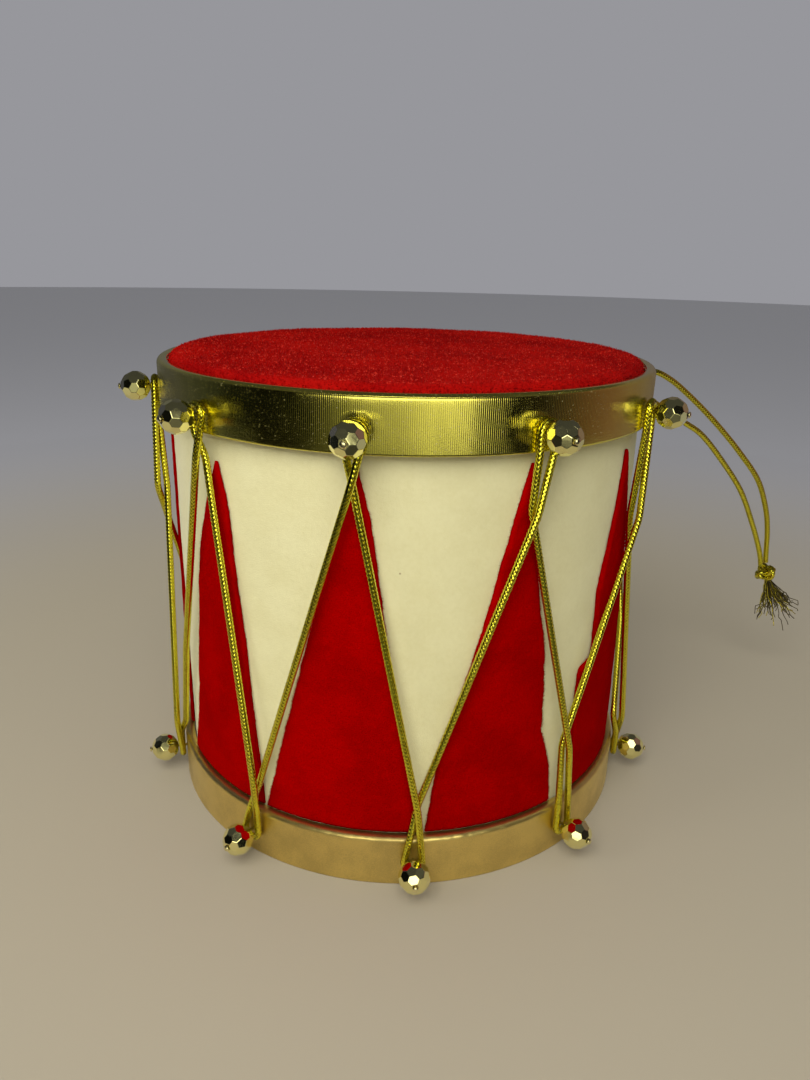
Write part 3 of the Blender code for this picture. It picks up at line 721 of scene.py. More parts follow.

# %% [markdown]
# ## The hanging loop
# A doubled cord goes round one pin at the right and droops to a knot, and its
# ends are frayed. The route is a list of given points, from the pin's slot:
# out from the drum, sideways round it, and up. A smooth curve runs through them.
# Each half starts behind the pin, so the two halves together make the eye.

# %% Hanging loop
HANGER_ANGLE = 108.0
HANGER_SLOT = SLOT_RADIUS + 2 * CORD_RADIUS + CLEARANCE
EYE_RADIUS = PIN_RADIUS + CLEARANCE + CORD_RADIUS
HANGER_STRAND_A = (
    (0.0, -0.0019, 0.0016), (0.0004, -0.0033, 0.0018), (0.0020, -0.0053, 0.0024),
    (0.0044, -0.0062, 0.0027), (0.0072, -0.0065, 0.0025), (0.0120, -0.0059, 0.0004),
    (0.0169, -0.0050, -0.0024), (0.0264, -0.0035, -0.0089), (0.0366, -0.0020, -0.0167),
    (0.0470, -0.0010, -0.0258), (0.0572, 0.0, -0.0361), (0.0635, 0.0009, -0.0470),
    (0.0664, 0.0014, -0.0555), (0.0676, 0.0015, -0.0630), (0.0683, 0.0015, -0.0679),
)
HANGER_STRAND_B = (
    (0.0, -0.0019, -0.0016), (0.0004, -0.0033, -0.0020), (0.0020, -0.0053, -0.0034),
    (0.0048, -0.0062, -0.0052), (0.0086, -0.0062, -0.0073), (0.0140, -0.0058, -0.0103),
    (0.0210, -0.0052, -0.0140), (0.0280, -0.0045, -0.0181), (0.0380, -0.0028, -0.0268),
    (0.0495, -0.0014, -0.0390), (0.0580, -0.0002, -0.0522), (0.0624, 0.0005, -0.0600),
    (0.0648, 0.0009, -0.0650), (0.0659, 0.0010, -0.0686),
)
HANGER_KNOT = (0.0689, 0.0015, -0.0719)
HANGER_KNOT_RADIUS = 0.0035
FRINGE_TIP = (0.0795, 0.0015, -0.0915)
ROUTE_STEPS = 12
ROUTE_SPACING = 0.0010


def hanger_point(out, side, up):
    return at_drum(HANGER_ANGLE, HANGER_SLOT + out, TOP_PIN_Z + up, side)


def smooth_route(points, spacing):
    """Points at an even spacing along a smooth curve through the given ones."""
    ends = [points[0] * 2 - points[1]] + points + [points[-1] * 2 - points[-2]]
    fine = []
    for index in range(1, len(ends) - 2):
        before, start, end, after = ends[index - 1:index + 3]
        for step in range(ROUTE_STEPS):
            t = step / ROUTE_STEPS
            fine.append(0.5 * (2 * start + (end - before) * t
                               + (2 * before - 5 * start + 4 * end - after) * t ** 2
                               + (3 * start - before - 3 * end + after) * t ** 3))
    fine.append(points[-1])
    length = sum((b - a).length for a, b in zip(fine, fine[1:]))
    count = max(2, round(length / spacing))
    wanted = [length * step / count for step in range(count + 1)]
    route = []
    travelled = 0.0
    for a, b in zip(fine, fine[1:]):
        piece = (b - a).length
        while wanted and wanted[0] <= travelled + piece + 1e-9:
            route.append(a + (b - a) * ((wanted.pop(0) - travelled) / piece))
        travelled += piece
    return route


def route_length(points):
    return sum((b - a).length for a, b in zip(points, points[1:]))


def eye_start(up):
    """Half of the eye: from the side away from the hanging part, over or under the pin."""
    points = []
    for angle in (0, 30, 60, 85):
        turn = math.radians(angle)
        points.append(hanger_point(0.0, EYE_RADIUS * math.cos(turn), up * EYE_RADIUS * math.sin(turn)))
    return points


hanger_pieces = []
for name, strand, up in (("hanger_strand_a", HANGER_STRAND_A, 1), ("hanger_strand_b", HANGER_STRAND_B, -1)):
    route = smooth_route(eye_start(up) + [hanger_point(*point) for point in strand], ROUTE_SPACING)
    core = cord_tube(name + "_core", route, "hanger")
    piece = braid(name + "_braid", route, "hanger", name, "hanger_eye")
    hanger_pieces.append((piece, core, route))
    print(name, "length", round(route_length(route) * 1000), "mm")

# %% [markdown]
# ## Knots
# Both knots are overhand knots pulled tight. A trefoil is the same knot with
# its ends joined, so a trefoil squeezed into a small ball looks right from
# every side. The hanging loop's knot has a second turn for the second cord.

# %% Knots
KNOT_POINTS = 96
KNOT_FULLNESS = 1.18
KNOT_TURNS = ((0.0, 1.0), (1.1, 0.75))


def knot_route(middle, along, size, turn=0.0, flat=1.0):
    """A tight trefoil about a point, its axis along the cord."""
    facing = Vector((0, 0, 1)).rotation_difference(along).to_matrix()
    points = []
    for step in range(KNOT_POINTS + 1):
        t = 2 * math.pi * step / KNOT_POINTS
        local = Vector((math.sin(t + turn) + 2 * math.sin(2 * t + turn),
                        math.cos(t + turn) - 2 * math.cos(2 * t + turn),
                        -1.5 * math.sin(3 * t) * flat))
        points.append(middle + facing @ (local * (size / 3)))
    return points


knot_middle = hanger_point(*HANGER_KNOT)
fringe_tip = hanger_point(*FRINGE_TIP)
hang_down = (fringe_tip - knot_middle).normalized()
knot_size = (HANGER_KNOT_RADIUS - CORD_RADIUS) * KNOT_FULLNESS
knot_parts = []
for number, (turn, flat) in enumerate(KNOT_TURNS):
    points = knot_route(knot_middle, hang_down, knot_size, turn, flat)
    core = cord_tube("hanger_knot_core_%d" % (number + 1), points, "hanger")
    turns = braid("hanger_knot_turn_%d" % (number + 1), points, "hanger", "hanger_knot")
    knot_parts += [core, turns]
print("knot", round(2 * HANGER_KNOT_RADIUS * 1000, 1), "mm across")

# %% [markdown]
# ## The frayed ends
# Below the knot the braid has come undone: the yarns spread into a crinkled
# brush, dark inside with bright tips of foil. One straight line is copied for
# each thread, and every copy is fanned out and crinkled by its own number.

# %% Frayed ends
FRINGE_LENGTH = (fringe_tip - knot_middle).length - HANGER_KNOT_RADIUS
FRINGE_SPREAD = 0.42
FRINGE_IN_KNOT = 0.0012
FRINGE_ROOT = 0.0016
CRINKLE = 0.0075
THREAD_RADIUS = 0.00016
THREAD_POINTS = 13
FRAYS = (("hanger_fray_foil", CORD_YARN, 3, 26), ("hanger_fray_thread", CORD_CORE, 11, 60))


def fray_tree(name, made, seed, threads):
    board, given = tree_board(name, (
        ("Threads", "Int", threads), ("Length", "Float", FRINGE_LENGTH),
        ("Spread", "Float", FRINGE_SPREAD), ("Thread Radius", "Float", THREAD_RADIUS)))
    route = board.node("GeometryNodeResampleCurve", {"Curve": given["Geometry"], "Count": THREAD_POINTS},
                       mode='COUNT')
    copies = board.node("GeometryNodeDuplicateElements",
                        {"Geometry": route, "Amount": given["Threads"]}, domain='SPLINE')
    index = copies["Duplicate Index"]

    def chance(number, low, high):
        return board.node("FunctionNodeRandomValue", {"Min": low, "Max": high, "ID": index,
                                                      "Seed": seed + number}, "Value", data_type='FLOAT')

    share = board.node("GeometryNodeSplineParameter", output="Factor")
    turn = chance(1, 0.0, 2 * math.pi)
    fan = chance(2, 0.05, 1.0) ** 0.6 * given["Spread"]
    reach = given["Length"] * chance(3, 0.62, 1.0)
    out = share ** 1.25 * reach * fan + fan * FRINGE_ROOT
    crinkle = board.node("ShaderNodeTexNoise", {
        "Vector": board.node("ShaderNodeCombineXYZ", {"X": share * 4.0, "Y": index * 3.7, "Z": float(seed)}),
        "Scale": 1.0, "Detail": 2.0}, "Color")
    shake = board.scaled(board.vector("SUBTRACT", crinkle, (0.5, 0.5, 0.5)), share * CRINKLE)
    spot = board.node("ShaderNodeCombineXYZ", {"X": turn.cos() * out, "Y": turn.sin() * out,
                                               "Z": share * reach})
    moved = board.node("GeometryNodeSetPosition", {
        "Geometry": copies["Geometry"], "Position": board.vector("ADD", spot, shake)})
    round_thread = board.node("GeometryNodeCurvePrimitiveCircle",
                              {"Resolution": 3, "Radius": given["Thread Radius"]}, mode='RADIUS')
    tubes = board.node("GeometryNodeCurveToMesh", {"Curve": moved, "Profile Curve": round_thread,
                                                   "Fill Caps": True})
    return end_tree(board, tubes, made)


fringe_parts = []
for name, made, seed, threads in FRAYS:
    line = route_object("line", [Vector((0, 0, 0)), Vector((0, 0, FRINGE_LENGTH))])
    mesh = run_tree(line, fray_tree(name, made, seed, threads), {})
    turn = Vector((0, 0, 1)).rotation_difference(hang_down).to_matrix().to_4x4()
    mesh.transform(Matrix.Translation(knot_middle + hang_down * (HANGER_KNOT_RADIUS - FRINGE_IN_KNOT)) @ turn)
    fringe_parts.append(place_piece(show(name, mesh), "hanger", "gold_cord", "hanger_fringe"))

for (piece, core, route), others in zip(hanger_pieces, (knot_parts + fringe_parts, [])):
    route_length(route)
    [core] + others
print("frayed ends of", sum(fray[3] for fray in FRAYS), "threads")

# %% [markdown]
# ## The lacing
# One cord goes round all twenty pins. At each it comes in over its own
# departing stretch, turns round the pin behind the bead, and leaves under it.
# The route repeats the CAD model's: the crossing's angle and its distance from
# the hoop come from the pins' table. Corners are eased, because a taut cord
# still has some stiffness.

# %% Lacing route
STRAND_SHARES = (0.33, 0.67)
HOOP_EDGE_MARGIN = 0.0005
INNER_CROSSING = 0.0669
OUTER_CROSSING = INNER_CROSSING + 2 * CORD_RADIUS + 2 * CLEARANCE
KNOT_PIN = 7
KNOT_SHARE = 0.80
LACING_KNOT_HALF = 0.0028
KNOT_ENTRY = 0.4
TURN_STEPS = 12
EASE_REACH = 0.0016


def pin_turn(angle, height, way):
    points = []
    for step in range(TURN_STEPS + 1):
        turn = math.pi * step / TURN_STEPS
        points.append(at_drum(angle, SLOT_RADIUS, height + way * LOOP_RADIUS * math.sin(turn),
                              LOOP_RADIUS * math.cos(turn)))
    return points


def pin_stop(pin, height, edge, way):
    """The cord at one pin: in over the crossing, round the pin, out under it."""
    angle, crossing_angle, from_edge = pin
    crossing_height = edge - way * from_edge
    edge_height = edge - way * HOOP_EDGE_MARGIN
    left = angle - math.degrees(LOOP_RADIUS / SLOT_RADIUS)
    share = (height - edge_height) / (height - crossing_height)
    return ([at_drum(crossing_angle, OUTER_CROSSING, crossing_height)]
            + pin_turn(angle, height, way)
            + [at_drum(between(left, crossing_angle, share), SLOT_RADIUS, edge_height),
               at_drum(crossing_angle, INNER_CROSSING, crossing_height)])


def resting_points(start, end):
    """Points of a strand that lies on the velvet, where a straight one would cut it."""
    points = []
    for share in STRAND_SHARES:
        point = between(start, end, share)
        radius = math.hypot(point.x, point.y)
        if radius < INNER_CROSSING:
            push = INNER_CROSSING / radius
            points.append(Vector((point.x * push, point.y * push, point.z)))
    return points


def eased(points, reach):
    """The same route with each corner rounded by a short curve."""
    route = [points[0]]
    for before, corner, after in zip(points, points[1:], points[2:]):
        back = min(reach, (corner - before).length * 0.45)
        ahead = min(reach, (after - corner).length * 0.45)
        start = corner + (before - corner).normalized() * back
        end = corner + (after - corner).normalized() * ahead
        for step in range(5):
            t = step / 4
            route.append(start * (1 - t) ** 2 + corner * (2 * t * (1 - t)) + end * t ** 2)
    route.append(points[-1])
    return route


def lacing_route():
    stops = []
    for step in range(len(TOP_PINS)):
        index = (KNOT_PIN + step) % len(TOP_PINS)
        stops.append(pin_stop(BOTTOM_PINS[index], BOTTOM_PIN_Z, LOWER_EDGE, -1))
        after = (index + 1) % len(TOP_PINS)
        stops.append(pin_stop(TOP_PINS[after], TOP_PIN_Z, UPPER_EDGE, 1))
    arrival = stops[-1][-1]
    departure = stops[0][0]
    along = (departure - arrival).normalized()
    middle = between(arrival, departure, KNOT_SHARE)
    points = [middle + along * LACING_KNOT_HALF * KNOT_ENTRY]
    for stop, following in zip(stops, stops[1:]):
        points += stop + resting_points(stop[-1], following[0])
    points += stops[-1]
    points.append(middle - along * LACING_KNOT_HALF * KNOT_ENTRY)
    return eased(points, EASE_REACH), middle, along


lacing, lacing_knot_middle, lacing_along = lacing_route()
print("lacing length", round(route_length(lacing), 3), "m")

# %% [markdown]
# The whole lacing has hundreds of thousands of faces, so its tapes are made in
# six bunches of two. They wind into each other as one braid, and each bunch
# stays small enough to be kept whole.

# %% Lacing braid
BUNCHES = 6
LACING_KNOT_ANGLE = 182
LACING_KNOT_LIFT = 0.0004
LACING_KNOT_SIZE = 0.0012
cord_tube("lacing_core", lacing, "drum", "lacing_cord")
for bunch in range(BUNCHES):
    piece = braid("lacing_yarns_%d" % (bunch + 1), lacing, "drum", "lacing_cord", First=bunch, Every=BUNCHES)
print("lacing in", BUNCHES, "bunches of", triangles(piece), "triangles")

lifted = lacing_knot_middle + outward(LACING_KNOT_ANGLE) * LACING_KNOT_LIFT
points = knot_route(lifted, lacing_along, LACING_KNOT_SIZE)
cord_tube("lacing_knot_core", points, "drum", "lacing_knot")
braid("lacing_knot_turns", points, "drum", "lacing_knot")

# %% [markdown]
# ## Turned pieces
# The wrap, the bands, the ribbons, the head and the pins are all turned: an
# outline of radius and height goes round an axis. A relief can then move every
# point along the outline's own normal, which makes ribs, crumples and pile.

# %% Turning an outline


def grain(points, size, seed=0.0):
    """Soft noise from -1 to 1 at each point, with blobs about size metres across."""
    shift = Vector((seed, seed * 1.7, seed * 0.3))
    return np.array([noise.noise(Vector(point) / size + shift) for point in points])


def layered(points, layers, seed=0.0):
    """Grains of several sizes in one, from rows of size, seed and height."""
    return sum(grain(points, size, seed + own) * height for size, own, height in layers)


def round_points(angle, radius, height):
    """The points at arrays of angle, radius and height, in rows."""
    return np.stack([radius * np.sin(angle), -radius * np.cos(angle), height], -1).reshape(-1, 3)


def turned(name, outline, columns, made, relief=None, closed=True):
    """A mesh turned round Z from an outline that runs anticlockwise, outside to its right."""
    line = np.array(outline)
    if closed:
        slope = np.roll(line, -1, 0) - np.roll(line, 1, 0)
    else:
        slope = np.gradient(line, axis=0)
    slope /= np.linalg.norm(slope, axis=1)[:, None]
    rows = len(line)
    angle = np.tile(np.arange(columns) * 2 * np.pi / columns, rows)
    radius, height = (np.repeat(line[:, axis], columns) for axis in (0, 1))
    points = round_points(angle, radius, height)
    if relief is not None:
        offset = relief(points, angle, radius, height)
        radius = radius + offset * np.repeat(slope[:, 1], columns)
        height = height - offset * np.repeat(slope[:, 0], columns)
        points = round_points(angle, radius, height)
    here = np.arange(columns)
    after = (here + 1) % columns
    faces = []
    for row in range(rows if closed else rows - 1):
        low = row * columns
        high = (row + 1) % rows * columns
        faces.append(np.stack([low + here, low + after, high + after, high + here], 1))
    mesh = bpy.data.meshes.new(name)
    mesh.from_pydata(points.tolist(), [], np.concatenate(faces).tolist())
    if min(line[:, 0]) < 1e-6:
        bm = bmesh.new()
        bm.from_mesh(mesh)
        bmesh.ops.remove_doubles(bm, verts=bm.verts, dist=1e-7)
        bm.to_mesh(mesh)
        bm.free()
    mesh.shade_smooth()
    return show(name, mesh, made)


def along_line(corners, spacing=math.inf):
    """An outline's corners, with more points between them where a spacing is given."""
    line = []
    for start, end in zip(corners, corners[1:]):
        start = Vector(start)
        end = Vector(end)
        steps = max(1, round((end - start).length / spacing))
        line += [tuple(start + (end - start) * step / steps) for step in range(steps)]
    return line + [tuple(corners[-1])]


def rounded(edge, top, radius, steps):
    """The quarter round with which an upright wall ends at its top."""
    turns = [math.pi / 2 * step / steps for step in range(1, steps + 1)]
    return [(edge - radius * (1 - math.cos(turn)), top - radius * (1 - math.sin(turn))) for turn in turns]


# %% [markdown]
# ## The cream wrap
# A strip of flocked velvet goes once round the foam and is stretched tight. It
# still shows faint swellings of the foam and the tooth of its pile.

# %% Cream wrap
CHAMFER = 0.0003
WRAP_THICKNESS = 0.0008
WRAP_INNER_CUT = 0.0004
WRAP_MARGIN = 0.001
WRAP_SPACING = 0.0008
WRAP_COLUMNS = 500
WRAP_RELIEF = ((0.014, 0, 0.00012), (0.0032, 5, 0.00005), (0.0012, 9, 0.00004))
WRAP_LOW, WRAP_TOP = (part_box("cream_wrap")[end].z for end in (0, 1))


def wrap_relief(points, angle, radius, height):
    return layered(points, WRAP_RELIEF)


inner = WRAP_RADIUS - WRAP_THICKNESS
outline = along_line([(inner, WRAP_LOW + WRAP_INNER_CUT), (inner + CHAMFER, WRAP_LOW),
                      (WRAP_RADIUS, WRAP_LOW + CHAMFER)])
outline += along_line([(WRAP_RADIUS, WRAP_LOW + WRAP_MARGIN), (WRAP_RADIUS, WRAP_TOP - WRAP_MARGIN)],
                      WRAP_SPACING)
outline += along_line([(WRAP_RADIUS, WRAP_TOP - CHAMFER), (inner + CHAMFER, WRAP_TOP),
                       (inner, WRAP_TOP - WRAP_INNER_CUT)])
wrap = turned("cream_wrap_velvet", outline, WRAP_COLUMNS, CREAM_VELVET, wrap_relief)
place_piece(wrap, "drum", "cream_velvet", "cream_wrap")
print("wrap triangles", triangles(wrap))

# %% [markdown]
# ## Pile
# Where velvet is seen from the side, along a cut edge or over the head, single
# fibres stand out. One tree scatters tapered fibres over a surface and leans
# each of them its own way.

# %% Pile tree


def pile_tree(name, made):
    board, given = tree_board(name, (
        ("Density", "Float", 1e6), ("Length", "Float", 0.0006), ("Width", "Float", 0.00008),
        ("Lean", "Float", 0.7), ("Seed", "Int", 1)))
    spots = board.node("GeometryNodeDistributePointsOnFaces", {
        "Mesh": given["Geometry"], "Density": given["Density"], "Seed": given["Seed"]})
    jitter = board.node("FunctionNodeRandomValue", {"Min": (-1.0, -1.0, -1.0), "Max": (1.0, 1.0, 1.0),
                                                    "Seed": given["Seed"]}, data_type='FLOAT_VECTOR')
    way = board.vector("ADD", spots["Normal"], board.scaled(jitter, given["Lean"]))
    turn = board.node("FunctionNodeAlignRotationToVector", {"Vector": way}, axis='Z')
    size = board.node("FunctionNodeRandomValue", {"Min": 0.55, "Max": 1.15, "Seed": given["Seed"] + 1},
                      "Value", data_type='FLOAT')
    fibre = board.node("GeometryNodeMeshCone", {"Vertices": 3, "Radius Top": 0.0,
                                                "Radius Bottom": given["Width"],
                                                "Depth": given["Length"]}, fill_type='NONE')
    stood = board.node("GeometryNodeInstanceOnPoints", {
        "Points": spots["Points"], "Instance": fibre, "Rotation": turn, "Scale": size})
    return end_tree(board, stood, made)


def pile(name, surface, tree, **values):
    """Fibres over a mesh, as a piece of their own."""
    return show(name, run_tree(linked("carrier", surface.copy()), tree, values))


RED_PILE = pile_tree("red_pile", RED_VELVET)
HEAD_PILE = pile_tree("head_pile", HEAD_VELVET)
print("pile trees made")

# %% [markdown]
# ## Red panels
# Ten triangles of red velvet stand on the lower hoop. Their edges were cut by
# hand. The CAD panels give those edges, row by row, and here they also get the
# small waver of scissors, a rounded pile edge and fibres along it.

# %% Red panels
PANEL_BACK = 0.0643
PANEL_FRONT = 0.0652
PANEL_SUNK = 0.0001
PANEL_ROWS = 135
PANEL_COLUMNS = 44
PANEL_EDGE = 0.0012
PANEL_WAVER = ((0.0042, 0, 0.00028), (0.0011, 0, 0.00016))
PANEL_TOOTH = ((0.006, 0, 0.00010), (0.0014, 0, 0.00008))
PANEL_FOOT = 0.0002
LEFT_SEED = 0.3
RIGHT_SEED = 7.1
FIBRE_STRIPS = (0, 1, 2, PANEL_COLUMNS - 3, PANEL_COLUMNS - 2, PANEL_COLUMNS - 1)
EDGE_FIBRES = {"Density": 2.6e7, "Length": 0.00055, "Width": 0.00005, "Lean": 1.0}


def panel_edges(node):
    """A CAD panel's own direction, its heights, and its left and right angles there."""
    points = np.array([vertex.co for vertex in frame["nodes"][node].data.vertices])
    middle = points[:, :2].mean(0)
    turn = math.atan2(middle[0], -middle[1])
    ahead = np.array([math.sin(turn), -math.cos(turn)])
    across = np.array([math.cos(turn), math.sin(turn)])
    angle = np.arctan2(points[:, :2] @ across, points[:, :2] @ ahead)
    height = np.round(points[:, 2], 5)
    levels = np.unique(height)
    left = np.array([angle[height == level].min() for level in levels])
    right = np.array([angle[height == level].max() for level in levels])
    return turn, levels, left, right


NICK_PANEL = "red_panel_05"
NICK_LOW = 0.0505
NICK_HIGH = 0.071
NICK_DEPTH = 0.0046
NICK_RISE = 0.0012
NICK_FALL = 0.0185


def waver(heights, seed):
    """How far scissors strayed from an edge, in metres."""
    return layered([(height, seed, 0.0) for height in heights], PANEL_WAVER, seed)


def nick(heights):
    """The hollow that one panel's left edge has above its foot, in metres."""
    rise = np.clip((heights - NICK_LOW) / NICK_RISE, 0, 1)
    fall = np.clip((NICK_HIGH - heights) / NICK_FALL, 0, 1)
    return NICK_DEPTH * rise * fall


def panel_mesh(node, seed):
    turn, levels, left, right = panel_edges(node)
    heights = np.linspace(levels[0], levels[-1], PANEL_ROWS + 1)
    left_edge = np.interp(heights, levels, left) + waver(heights, seed + LEFT_SEED) / PANEL_FRONT
    if node == NICK_PANEL:
        left_edge = left_edge + nick(heights) / PANEL_FRONT
    right_edge = np.interp(heights, levels, right) + waver(heights, seed + RIGHT_SEED) / PANEL_FRONT
    share = 0.5 - 0.5 * np.cos(np.pi * np.arange(PANEL_COLUMNS + 1) / PANEL_COLUMNS)
    angle = left_edge[:, None] * (1 - share) + right_edge[:, None] * share + turn
    height = np.repeat(heights[:, None], PANEL_COLUMNS + 1, 1)
    width = (right_edge - left_edge)[:, None] * PANEL_FRONT
    inwards = np.minimum(np.minimum(share * width, (1 - share) * width),
                         np.minimum(height - heights[0], heights[-1] - height) + PANEL_FOOT)
    rise = np.sqrt(1 - (1 - np.clip(inwards / PANEL_EDGE, 0, 1)) ** 2)
    tooth = layered(round_points(angle, PANEL_FRONT, height), PANEL_TOOTH, seed).reshape(angle.shape)
    front = PANEL_BACK + (PANEL_FRONT - PANEL_BACK) * rise + tooth * rise
    points = []
    for radius in (front, np.full(angle.shape, PANEL_BACK - PANEL_SUNK)):
        points += round_points(angle, radius, height).tolist()
    wide = PANEL_COLUMNS + 1
    count = (PANEL_ROWS + 1) * wide
    faces = []
    for row in range(PANEL_ROWS):
        for column in range(PANEL_COLUMNS):
            low = row * wide + column
            faces.append((low, low + 1, low + wide + 1, low + wide))
            faces.append((count + low, count + low + wide, count + low + wide + 1, count + low + 1))
    for row in range(PANEL_ROWS):
        for low, high in ((row * wide, (row + 1) * wide), ((row + 2) * wide - 1, (row + 1) * wide - 1)):
            faces.append((low, high, count + high, count + low))
    top = PANEL_ROWS * wide
    for column in range(PANEL_COLUMNS):
        faces.append((column + 1, column, count + column, count + column + 1))
        faces.append((top + column, top + column + 1, count + top + column + 1, count + top + column))
    mesh = bpy.data.meshes.new(node)
    mesh.from_pydata(points, [], faces)
    mesh.shade_smooth()
    area = float(width[:, 0].mean() * (heights[-1] - heights[0]))
    return mesh, (float(width.max()), float(heights[-1] - heights[0])), area, points[:count]


def edge_strip(points):
    """The outermost strips of a panel's front, where its fibres stand out sideways."""
    wide = PANEL_COLUMNS + 1
    faces = []
    for row in range(PANEL_ROWS):
        for column in FIBRE_STRIPS:
            low = row * wide + column
            faces.append((low, low + 1, low + wide + 1, low + wide))
    mesh = bpy.data.meshes.new("strip")
    mesh.from_pydata(points, [], faces)
    return mesh


for index in range(10):
    node = "red_panel_%02d" % (index + 1)
    mesh, flat, area, points = panel_mesh(node, 3.0 * index + 1.0)
    panel = place_piece(show(node + "_velvet", mesh, RED_VELVET), "drum", "red_velvet", node)
    fibres = pile(node + "_fibres", edge_strip(points), RED_PILE, Seed=index, **EDGE_FIBRES)
    place_piece(fibres, "drum", "red_velvet")
print("panel", triangles(panel), "fibres", triangles(fibres), "flat", [round(v * 1000, 1) for v in flat],
      "area", round(area * 1e4, 1), "cm2")

# %% [markdown]
# ## The head
# The head's cloth is stretched over a soft pad, so it is crowned: the middle
# stands a millimetre and a half above its rounded edge. Short tufts stand all
# over it, and its outermost millimetres were pressed flat by the hoop.

# %% Head
HEAD_BASE, HEAD_TOP = (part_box("head_cloth")[end].z for end in (0, 1))
HEAD_SHOULDER = DRUM_HEIGHT + 0.0014
HEAD_CORNER = 0.0030
HEAD_CORNER_STEPS = 8
HEAD_CROWN_STEPS = 60
HEAD_COLUMNS = 420
HEAD_SPACING = 0.0008
HEAD_CLOTH = 0.0008
HEAD_RELIEF = ((0.017, 2, 0.00022), (0.004, 3, 0.00010), (0.0013, 4, 0.00010))
PAD_BASE = HEAD_BASE + 0.0002
PAD_COLUMNS = 90
HEAD_TUFTS = {"Density": 3.4e6, "Length": 0.00055, "Width": 0.00016, "Lean": 0.6, "Seed": 5}


def head_line(inset, bottom):
    """The crown's outline from its edge to the axis, moved inwards by inset."""
    edge = WRAP_RADIUS - inset
    top = HEAD_SHOULDER - inset
    corner = HEAD_CORNER - inset
    line = along_line([(edge, bottom), (edge, top - corner)], HEAD_SPACING)
    line += rounded(edge, top, corner, HEAD_CORNER_STEPS)
    for step in range(1, HEAD_CROWN_STEPS + 1):
        share = 1 - step / HEAD_CROWN_STEPS
        line.append(((edge - corner) * share, top + (HEAD_TOP - HEAD_SHOULDER) * (1 - share ** 2)))
    return line


def head_relief(points, angle, radius, height):
    return (height > HEAD_SHOULDER - HEAD_CORNER) * layered(points, HEAD_RELIEF)


cloth = turned("head_cloth_velvet", head_line(0.0, HEAD_BASE), HEAD_COLUMNS, HEAD_VELVET, head_relief,
               closed=False)
place_piece(cloth, "drum", "head_velvet", "head_cloth")
pad_outline = head_line(HEAD_CLOTH + CLEARANCE, PAD_BASE) + [(0, PAD_BASE)]
pad = turned("head_pad_foam", pad_outline, PAD_COLUMNS, FOAM)
place_piece(pad, "drum", "foam", "head_pad")
tufts = pile("head_tufts", cloth.data, HEAD_PILE, **HEAD_TUFTS)
place_piece(tufts, "drum", "head_velvet")
print("head", triangles(cloth), "tufts", triangles(tufts))

# %% [markdown]
# ## Hoops
# Each hoop is a ribbon folded over a card band. The upper one is woven in fine
# upright ribs, which are real here, and its top edge is a soft fold. The lower
# one is a smooth satin whose upper edge is a little crumpled.

# %% Ribbons and bands
BAND_INNER = 0.0643
BAND_OUTER = 0.0661
RIBBON_THICKNESS = 0.0006
LIP_ROUND = 0.0012
LIP_STEPS = 4
FOLD_CUT = 0.0002
FOLD_SLOPE = 0.0004
FOOT_MARGIN = 0.0005
RIB_PITCH = 0.00045
RIB_COUNT = round(2 * math.pi * HOOP_RADIUS / RIB_PITCH)
RIB_DEPTH = 0.000027
RIB_SAMPLES = 6
UPPER_SPACING = 0.0036
LOWER_SPACING = 0.0008
LOWER_COLUMNS = 1100
BAND_COLUMNS = 180
BAND_SPACING = 0.002
UPPER_SWELL = ((0.012, 8, 0.00005), (0.0045, 3, 0.00001))
LOWER_SWELL = ((0.011, 4, 0.00006),)
LOWER_CRUMPLE = ((0.0019, 7, 0.00016), (0.0007, 2, 0.00006))
CRUMPLE_REACH = 0.0022
CRUMPLE_BLEND = 0.0018


def ribbon_line(bottom, top, spacing):
    """The folded ribbon's outline, from its inner lower edge round to where it began."""
    wall = HOOP_RADIUS - RIBBON_THICKNESS
    under = top - RIBBON_THICKNESS
    line = along_line([(BAND_INNER, bottom + CHAMFER), (BAND_INNER + CHAMFER, bottom),
                       (HOOP_RADIUS - FOLD_CUT, bottom), (HOOP_RADIUS, bottom + FOLD_CUT)])
    line += along_line([(HOOP_RADIUS, bottom + FOOT_MARGIN), (HOOP_RADIUS, top - LIP_ROUND)], spacing)
    line += rounded(HOOP_RADIUS, top, LIP_ROUND, LIP_STEPS)
    return line + [(BAND_INNER + CHAMFER, top), (BAND_INNER, top - CHAMFER), (BAND_INNER + FOLD_CUT, under),
                   (wall, under - FOLD_SLOPE), (wall, bottom + RIBBON_THICKNESS)]


def upper_relief(points, angle, radius, height):
    wall = np.clip((radius - HOOP_RADIUS) / 0.0007 + 1, 0, 1)
    groove = np.clip(2 * np.cos(angle * RIB_COUNT) - 1, 0, 1)
    ribs = -groove * RIB_DEPTH * (1 + 0.6 * grain(points, 0.003, 6))
    return wall * (ribs + layered(points, UPPER_SWELL))


def lower_relief(points, angle, radius, height):
    wall = np.clip((radius - HOOP_RADIUS) / LIP_ROUND + 1, 0, 1) * np.clip(height / 0.0010, 0, 1)
    edge = np.clip((height - LOWER_EDGE + CRUMPLE_REACH) / CRUMPLE_BLEND, 0, 1)
    return wall * (layered(points, LOWER_SWELL) + edge * layered(points, LOWER_CRUMPLE))


